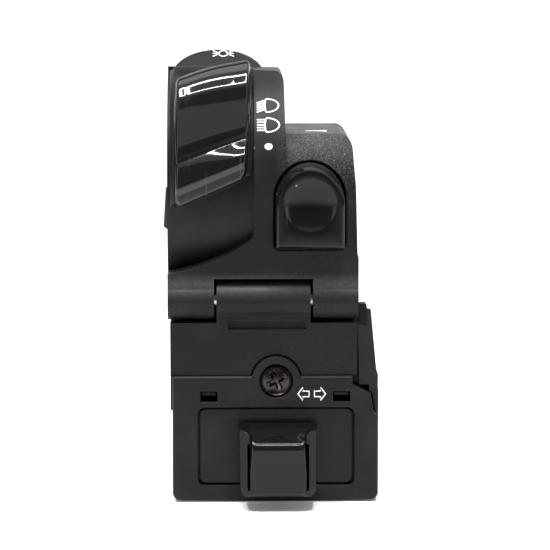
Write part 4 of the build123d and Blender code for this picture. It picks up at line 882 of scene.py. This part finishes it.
def hang_light(name, place, aim, width, depth, power):
    """One soft rectangular light that faces its aim."""
    lamp = bpy.data.lights.new(name, "AREA")
    lamp.shape = "RECTANGLE"
    lamp.size = width
    lamp.size_y = depth
    lamp.energy = power
    set_up(name, lamp, place, Vector(place) - Vector(aim), "Z")


class SwitchSizes(bpy.types.PropertyGroup):
    """Sizes of the dressed details."""

    pad_crown: bpy.props.FloatProperty(
        name="Pad crown", description="How far the pad falls away at its long edges", default=0.00035,
        min=0.0, max=0.0008, unit="LENGTH", precision=5)
    dish_depth: bpy.props.FloatProperty(
        name="Dish depth", description="Depth of the dish in the horn button", default=0.00195,
        min=0.0, max=0.003, unit="LENGTH", precision=5)
    knob_depth: bpy.props.FloatProperty(
        name="Knob depth", description="How far the knob stands off its base", default=0.009,
        min=0.007, max=0.009, unit="LENGTH", precision=5)
    sign_line: bpy.props.FloatProperty(
        name="Sign line", description="Half the width of a printed sign's line", default=0.00015,
        min=0.00002, max=0.0005, unit="LENGTH", precision=5)
    sign_lift: bpy.props.FloatProperty(
        name="Sign lift", description="How far the ink stands off the surface", default=0.00002,
        min=0.000005, max=0.0001, unit="LENGTH", precision=6)
    soft_edge: bpy.props.FloatProperty(
        name="Soft edge", description="Radius at which coated edges read as rounded", default=0.0004,
        min=0.0, max=0.002, unit="LENGTH", precision=5)
    grain_depth: bpy.props.FloatProperty(
        name="Grain depth", description="Depth of the moulded grain", default=0.00002, min=0.0, max=0.0002,
        unit="LENGTH", precision=6)


class SwitchColours(bpy.types.PropertyGroup):
    """Colours of the finishes."""

    coat: bpy.props.FloatVectorProperty(
        name="Coat", description="Satin black coat of the clamp halves", default=(0.0072, 0.0074, 0.0078),
        subtype="COLOR", min=0.0, max=1.0)
    moulding: bpy.props.FloatVectorProperty(
        name="Moulding", description="Black moulding of the turn signal module",
        default=(0.0078, 0.008, 0.0084), subtype="COLOR", min=0.0, max=1.0)
    thumb: bpy.props.FloatVectorProperty(
        name="Thumb surfaces", description="Polished black of the pad, the horn button and the knob",
        default=(0.006, 0.006, 0.0065), subtype="COLOR", min=0.0, max=1.0)
    ink: bpy.props.FloatVectorProperty(
        name="Sign ink", description="White ink of the signs", default=(0.85, 0.85, 0.84),
        subtype="COLOR", min=0.0, max=1.0)


class StageSettings(bpy.types.PropertyGroup):
    """Camera and light of the stage."""

    azimuth: bpy.props.FloatProperty(
        name="Azimuth", description="Turn of the camera round the part", default=math.radians(-1.2),
        subtype="ANGLE")
    elevation: bpy.props.FloatProperty(
        name="Elevation", description="Height of the camera above the horizon", default=math.radians(8.0),
        subtype="ANGLE")
    distance: bpy.props.FloatProperty(
        name="Distance", description="Camera to the front faces", default=0.56, unit="LENGTH")
    lens: bpy.props.FloatProperty(
        name="Lens", description="Focal length of the camera", default=174.5, unit="CAMERA")
    top_light: bpy.props.FloatProperty(
        name="Top light", description="Power of the wide light above", default=2.0, unit="POWER")
    side_light: bpy.props.FloatProperty(
        name="Side light", description="Power of each side light", default=1.6, unit="POWER")
    strip_light: bpy.props.FloatProperty(
        name="Strip light", description="Power of each narrow light of the ring", default=2.8,
        unit="POWER")
    backdrop_light: bpy.props.FloatProperty(
        name="Backdrop light", description="Power of the light on the backdrop", default=3.0, unit="POWER")
    room_light: bpy.props.FloatProperty(
        name="Room light", description="Strength of the light from all round", default=0.09, min=0.0)


class DressCastHalves(bpy.types.Operator):
    """Coats the upper housing, the rear cover and the lower clamp half."""

    bl_idname = "switch.dress_cast_halves"
    bl_label = "Cast halves"

    def execute(self, context):
        sizes, colours = context.scene.switch_sizes, context.scene.switch_colours
        # The cast halves get painted glints on the skin and a painted highlight on the barrel.
        coat = coated("satin_black_coat", colours.coat, 0.46, sizes.grain_depth, sizes.soft_edge, glints=0.4)
        finish_nodes(coat, "upper_housing", "rear_cover", "lower_clamp_half")
        return {"FINISHED"}


class DressMouldings(bpy.types.Operator):
    """Finishes the turn signal module, its window plate, the cable gland and the finger trigger."""

    bl_idname = "switch.dress_mouldings"
    bl_label = "Mouldings"

    def execute(self, context):
        sizes, colours = context.scene.switch_sizes, context.scene.switch_colours
        moulding = coated("black_moulding", colours.moulding, 0.46, sizes.grain_depth, sizes.soft_edge)
        finish_nodes(moulding, "module_front_cover", "module_rear_shell")
        plate = coated("window_plate_black", (0.008, 0.008, 0.0085), 0.36, sizes.grain_depth / 2)
        finish_nodes(plate, "window_plate")
        finish_nodes(coated("matt_rubber", (0.012, 0.012, 0.012), 0.7, sizes.grain_depth), "cable_gland")
        lever = coated("trigger_black", (0.02, 0.02, 0.021), 0.42, sizes.grain_depth, sizes.soft_edge)
        finish_nodes(lever, "pass_trigger")
        return {"FINISHED"}


class DressThumbCaps(bpy.types.Operator):
    """Makes the dished cap of the horn button and the tapered cap of the turn signal knob."""

    bl_idname = "switch.dress_thumb_caps"
    bl_label = "Thumb caps"

    def execute(self, context):
        sizes = context.scene.switch_sizes
        gloss = polished("polished_black", context.scene.switch_colours.thumb, 0.06, 0.2)
        finish_nodes(gloss, "horn_button", "turn_knob")
        horn_cap(gloss, in_mm(sizes.dish_depth))
        knob_cap(gloss, in_mm(sizes.knob_depth))
        return {"FINISHED"}


class DressLightRocker(bpy.types.Operator):
    """Makes the thumb pad of the light switch rocker, and finishes its carrier."""

    bl_idname = "switch.dress_light_rocker"
    bl_label = "Light rocker"

    def execute(self, context):
        sizes = context.scene.switch_sizes
        bright = polished("polished_pad_black", context.scene.switch_colours.thumb, 0.06, 0.5)
        finish_nodes(bright, "light_rocker_pad")
        carrier = coated("satin_carrier", (0.009, 0.009, 0.0095), 0.2, sizes.grain_depth / 2, sizes.soft_edge)
        finish_nodes(carrier, "light_rocker_frame")
        rocker_pad(bright, carrier, in_mm(sizes.pad_crown))
        return {"FINISHED"}


class DressCoverScrew(bpy.types.Operator):
    """Makes the cross recessed screw of the front cover."""

    bl_idname = "switch.dress_cover_screw"
    bl_label = "Cover screw"

    def execute(self, context):
        oiled = metal("oiled_black_screw", (0.05, 0.042, 0.04), 0.3)
        finish_nodes(oiled, "cover_screw")
        screw_head(oiled)
        return {"FINISHED"}


class DressMetalParts(bpy.types.Operator):
    """Finishes the hidden screws and inserts, the pins, the springs and the contacts."""

    bl_idname = "switch.dress_metal_parts"
    bl_label = "Metal parts"

    def execute(self, context):
        black = metal("blackened_screw", (0.09, 0.09, 0.095), 0.34)
        finish_nodes(black, "rear_cover_screws", "clamp_screws", "clamp_washers")
        zinc = metal("zinc_plate", (0.62, 0.62, 0.63), 0.3, (0.1, 1.0, 1.0))
        finish_nodes(zinc, "hinge_pin", "light_pivot_pin", "pass_pivot_pin", "module_screws",
                     "light_detent_plate", "light_detent_ball", "turn_detent_ball")
        wire = metal("drawn_wire", (0.5, 0.5, 0.52), 0.25)
        finish_nodes(wire, "horn_spring", "light_detent_spring", "pass_spring", "turn_detent_spring",
                     "turn_return_springs", "push_spring")
        brass = metal("turned_brass", (0.78, 0.57, 0.25), 0.28)
        finish_nodes(brass, "clamp_inserts", "horn_contact_plate", "light_contact_wiper", "turn_contact_plate")
        return {"FINISHED"}


class DressInnerParts(bpy.types.Operator):
    """Finishes the mouldings and boards inside."""

    bl_idname = "switch.dress_inner_parts"
    bl_label = "Inner parts"

    def execute(self, context):
        dark = coated("inner_dark_moulding", (0.045, 0.045, 0.047), 0.5)
        finish_nodes(dark, "light_switch_bracket", "turn_switch_base", "turn_slider", "pass_microswitch")
        pale = coated("inner_pale_moulding", (0.6, 0.57, 0.5), 0.45, dust=0.1)
        finish_nodes(pale, "horn_switch_base")
        board = board_lacquer("board_green", (0.03, 0.13, 0.07))
        finish_nodes(board, "circuit_board", "turn_contact_board", "light_contact_board")
        return {"FINISHED"}


class PrintSigns(bpy.types.Operator):
    """Prints the plain signs of the lights, the horn and the turn signals."""

    bl_idname = "switch.print_signs"
    bl_label = "Signs"

    def execute(self, context):
        sizes = context.scene.switch_sizes
        ink = printed("white_sign_ink", context.scene.switch_colours.ink)
        for name, angle, *measures in BEAMS:
            line_sign(name, beam(*measures), on_drum(0.0, angle), "upper_half", ink, sizes)
        spot = arc((0.0, 0.0), OFF_SPOT_RADII, *ROUND)
        filled_sign("sign_lights_off", spot, on_drum(*OFF_SPOT_AT), ink, in_mm(sizes.sign_lift))
        ends = np.array([BULB_RAY_START, BULB_RAY_END])
        bulb = [(arc((0.0, 0.0), BULB_RADII, *ROUND), True)]
        bulb += [(ends * (side, rise), False) for side in (-1.0, 1.0) for rise in (-1.0, 0.0, 1.0)]
        dome = on_node("upper_housing", BULB_ABOVE, DOWN)
        line_sign("sign_position_lamp", bulb, dome, "upper_half", ink, sizes)
        shoulder = on_node("upper_housing", BELL_ABOVE, DOWN)
        filled_sign("sign_horn", BELL, shoulder, ink, 2.0 * in_mm(sizes.sign_lift))
        x, y, z = ARROWS_BEFORE
        for side, name in ((-1.0, "sign_turn_left"), (1.0, "sign_turn_right")):
            cover = on_node("module_front_cover", (x + side * ARROWS_APART, y, z), BACK)
            arrow = np.array(ARROW) * (side * ARROW_LENGTH, 1.0)
            line_sign(name, [(arrow, True)], cover, "clamp_lower", ink, sizes)
        return {"FINISHED"}


class SetStage(bpy.types.Operator):
    """Lays the pale floor and backdrop and sets the soft lights and the camera."""

    bl_idname = "switch.set_stage"
    bl_label = "Stage"

    def execute(self, context):
        scene, stage = context.scene, context.scene.stage_settings
        points = sweep_points()
        mesh = bpy.data.meshes.new("pale_sweep")
        mesh.from_pydata((points.reshape(-1, 3) * MM).tolist(), [], weave(*points.shape[:2]))
        mesh.shade_smooth()
        mesh.materials.append(pale_paper("pale_paper"))
        sweep = bpy.data.objects.new("pale_sweep", mesh)
        scene.collection.objects.link(sweep)
        for *measures, power in LIGHTS:
            hang_light(*measures, getattr(stage, power))
        scene.world = bpy.data.worlds.new("soft_room")
        scene.world.use_nodes = True
        room = scene.world.node_tree.nodes["Background"].inputs
        room["Color"].default_value = ROOM
        room["Strength"].default_value = stage.room_light
        camera = bpy.data.cameras.new("photo_camera")
        camera.lens = stage.lens
        camera.sensor_width = 36.0
        camera.clip_start = 0.01
        camera.clip_end = 20.0
        turn, rise = stage.azimuth, stage.elevation
        away = Vector((math.sin(turn) * math.cos(rise), -math.cos(turn) * math.cos(rise), math.sin(rise)))
        place = Vector(CAMERA_TARGET) * MM + away * stage.distance
        scene.camera = set_up("photo_camera", camera, place, -away, "-Z")
        scene.view_settings.view_transform = "Standard"
        return {"FINISHED"}


class SwitchPanel(bpy.types.Panel):
    """Lists the sizes, the colours and the steps that dress the switch cluster."""

    bl_idname = "VIEW3D_PT_switch_cluster"
    bl_label = "Switch cluster"
    bl_space_type = "VIEW_3D"
    bl_region_type = "UI"
    bl_category = "Switch cluster"

    def draw(self, context):
        for setting in SETTINGS:
            group = getattr(context.scene, setting)
            box = self.layout.box()
            for name in group.__annotations__:
                box.prop(group, name)
        for step in STEPS:
            self.layout.operator(step.bl_idname)


SETTINGS = {"switch_sizes": SwitchSizes, "switch_colours": SwitchColours, "stage_settings": StageSettings}
STEPS = (DressCastHalves, DressMouldings, DressThumbCaps, DressLightRocker, DressCoverScrew, DressMetalParts,
         DressInnerParts, PrintSigns, SetStage)
CLASSES = (*SETTINGS.values(), *STEPS, SwitchPanel)


def register():
    """Makes the properties, the steps and the panel known."""
    for item in CLASSES:
        bpy.utils.register_class(item)
    for name, group in SETTINGS.items():
        setattr(bpy.types.Scene, name, bpy.props.PointerProperty(type=group))


def unregister():
    """Takes them away again."""
    for name in SETTINGS:
        delattr(bpy.types.Scene, name)
    for item in reversed(CLASSES):
        bpy.utils.unregister_class(item)


def main():
    """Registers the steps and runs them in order."""
    register()
    for step in STEPS:
        group, action = step.bl_idname.split(".")
        if getattr(getattr(bpy.ops, group), action)() != {"FINISHED"}:
            raise RuntimeError("step didn't finish: " + step.bl_label)


if __name__ == "__main__":
    main()
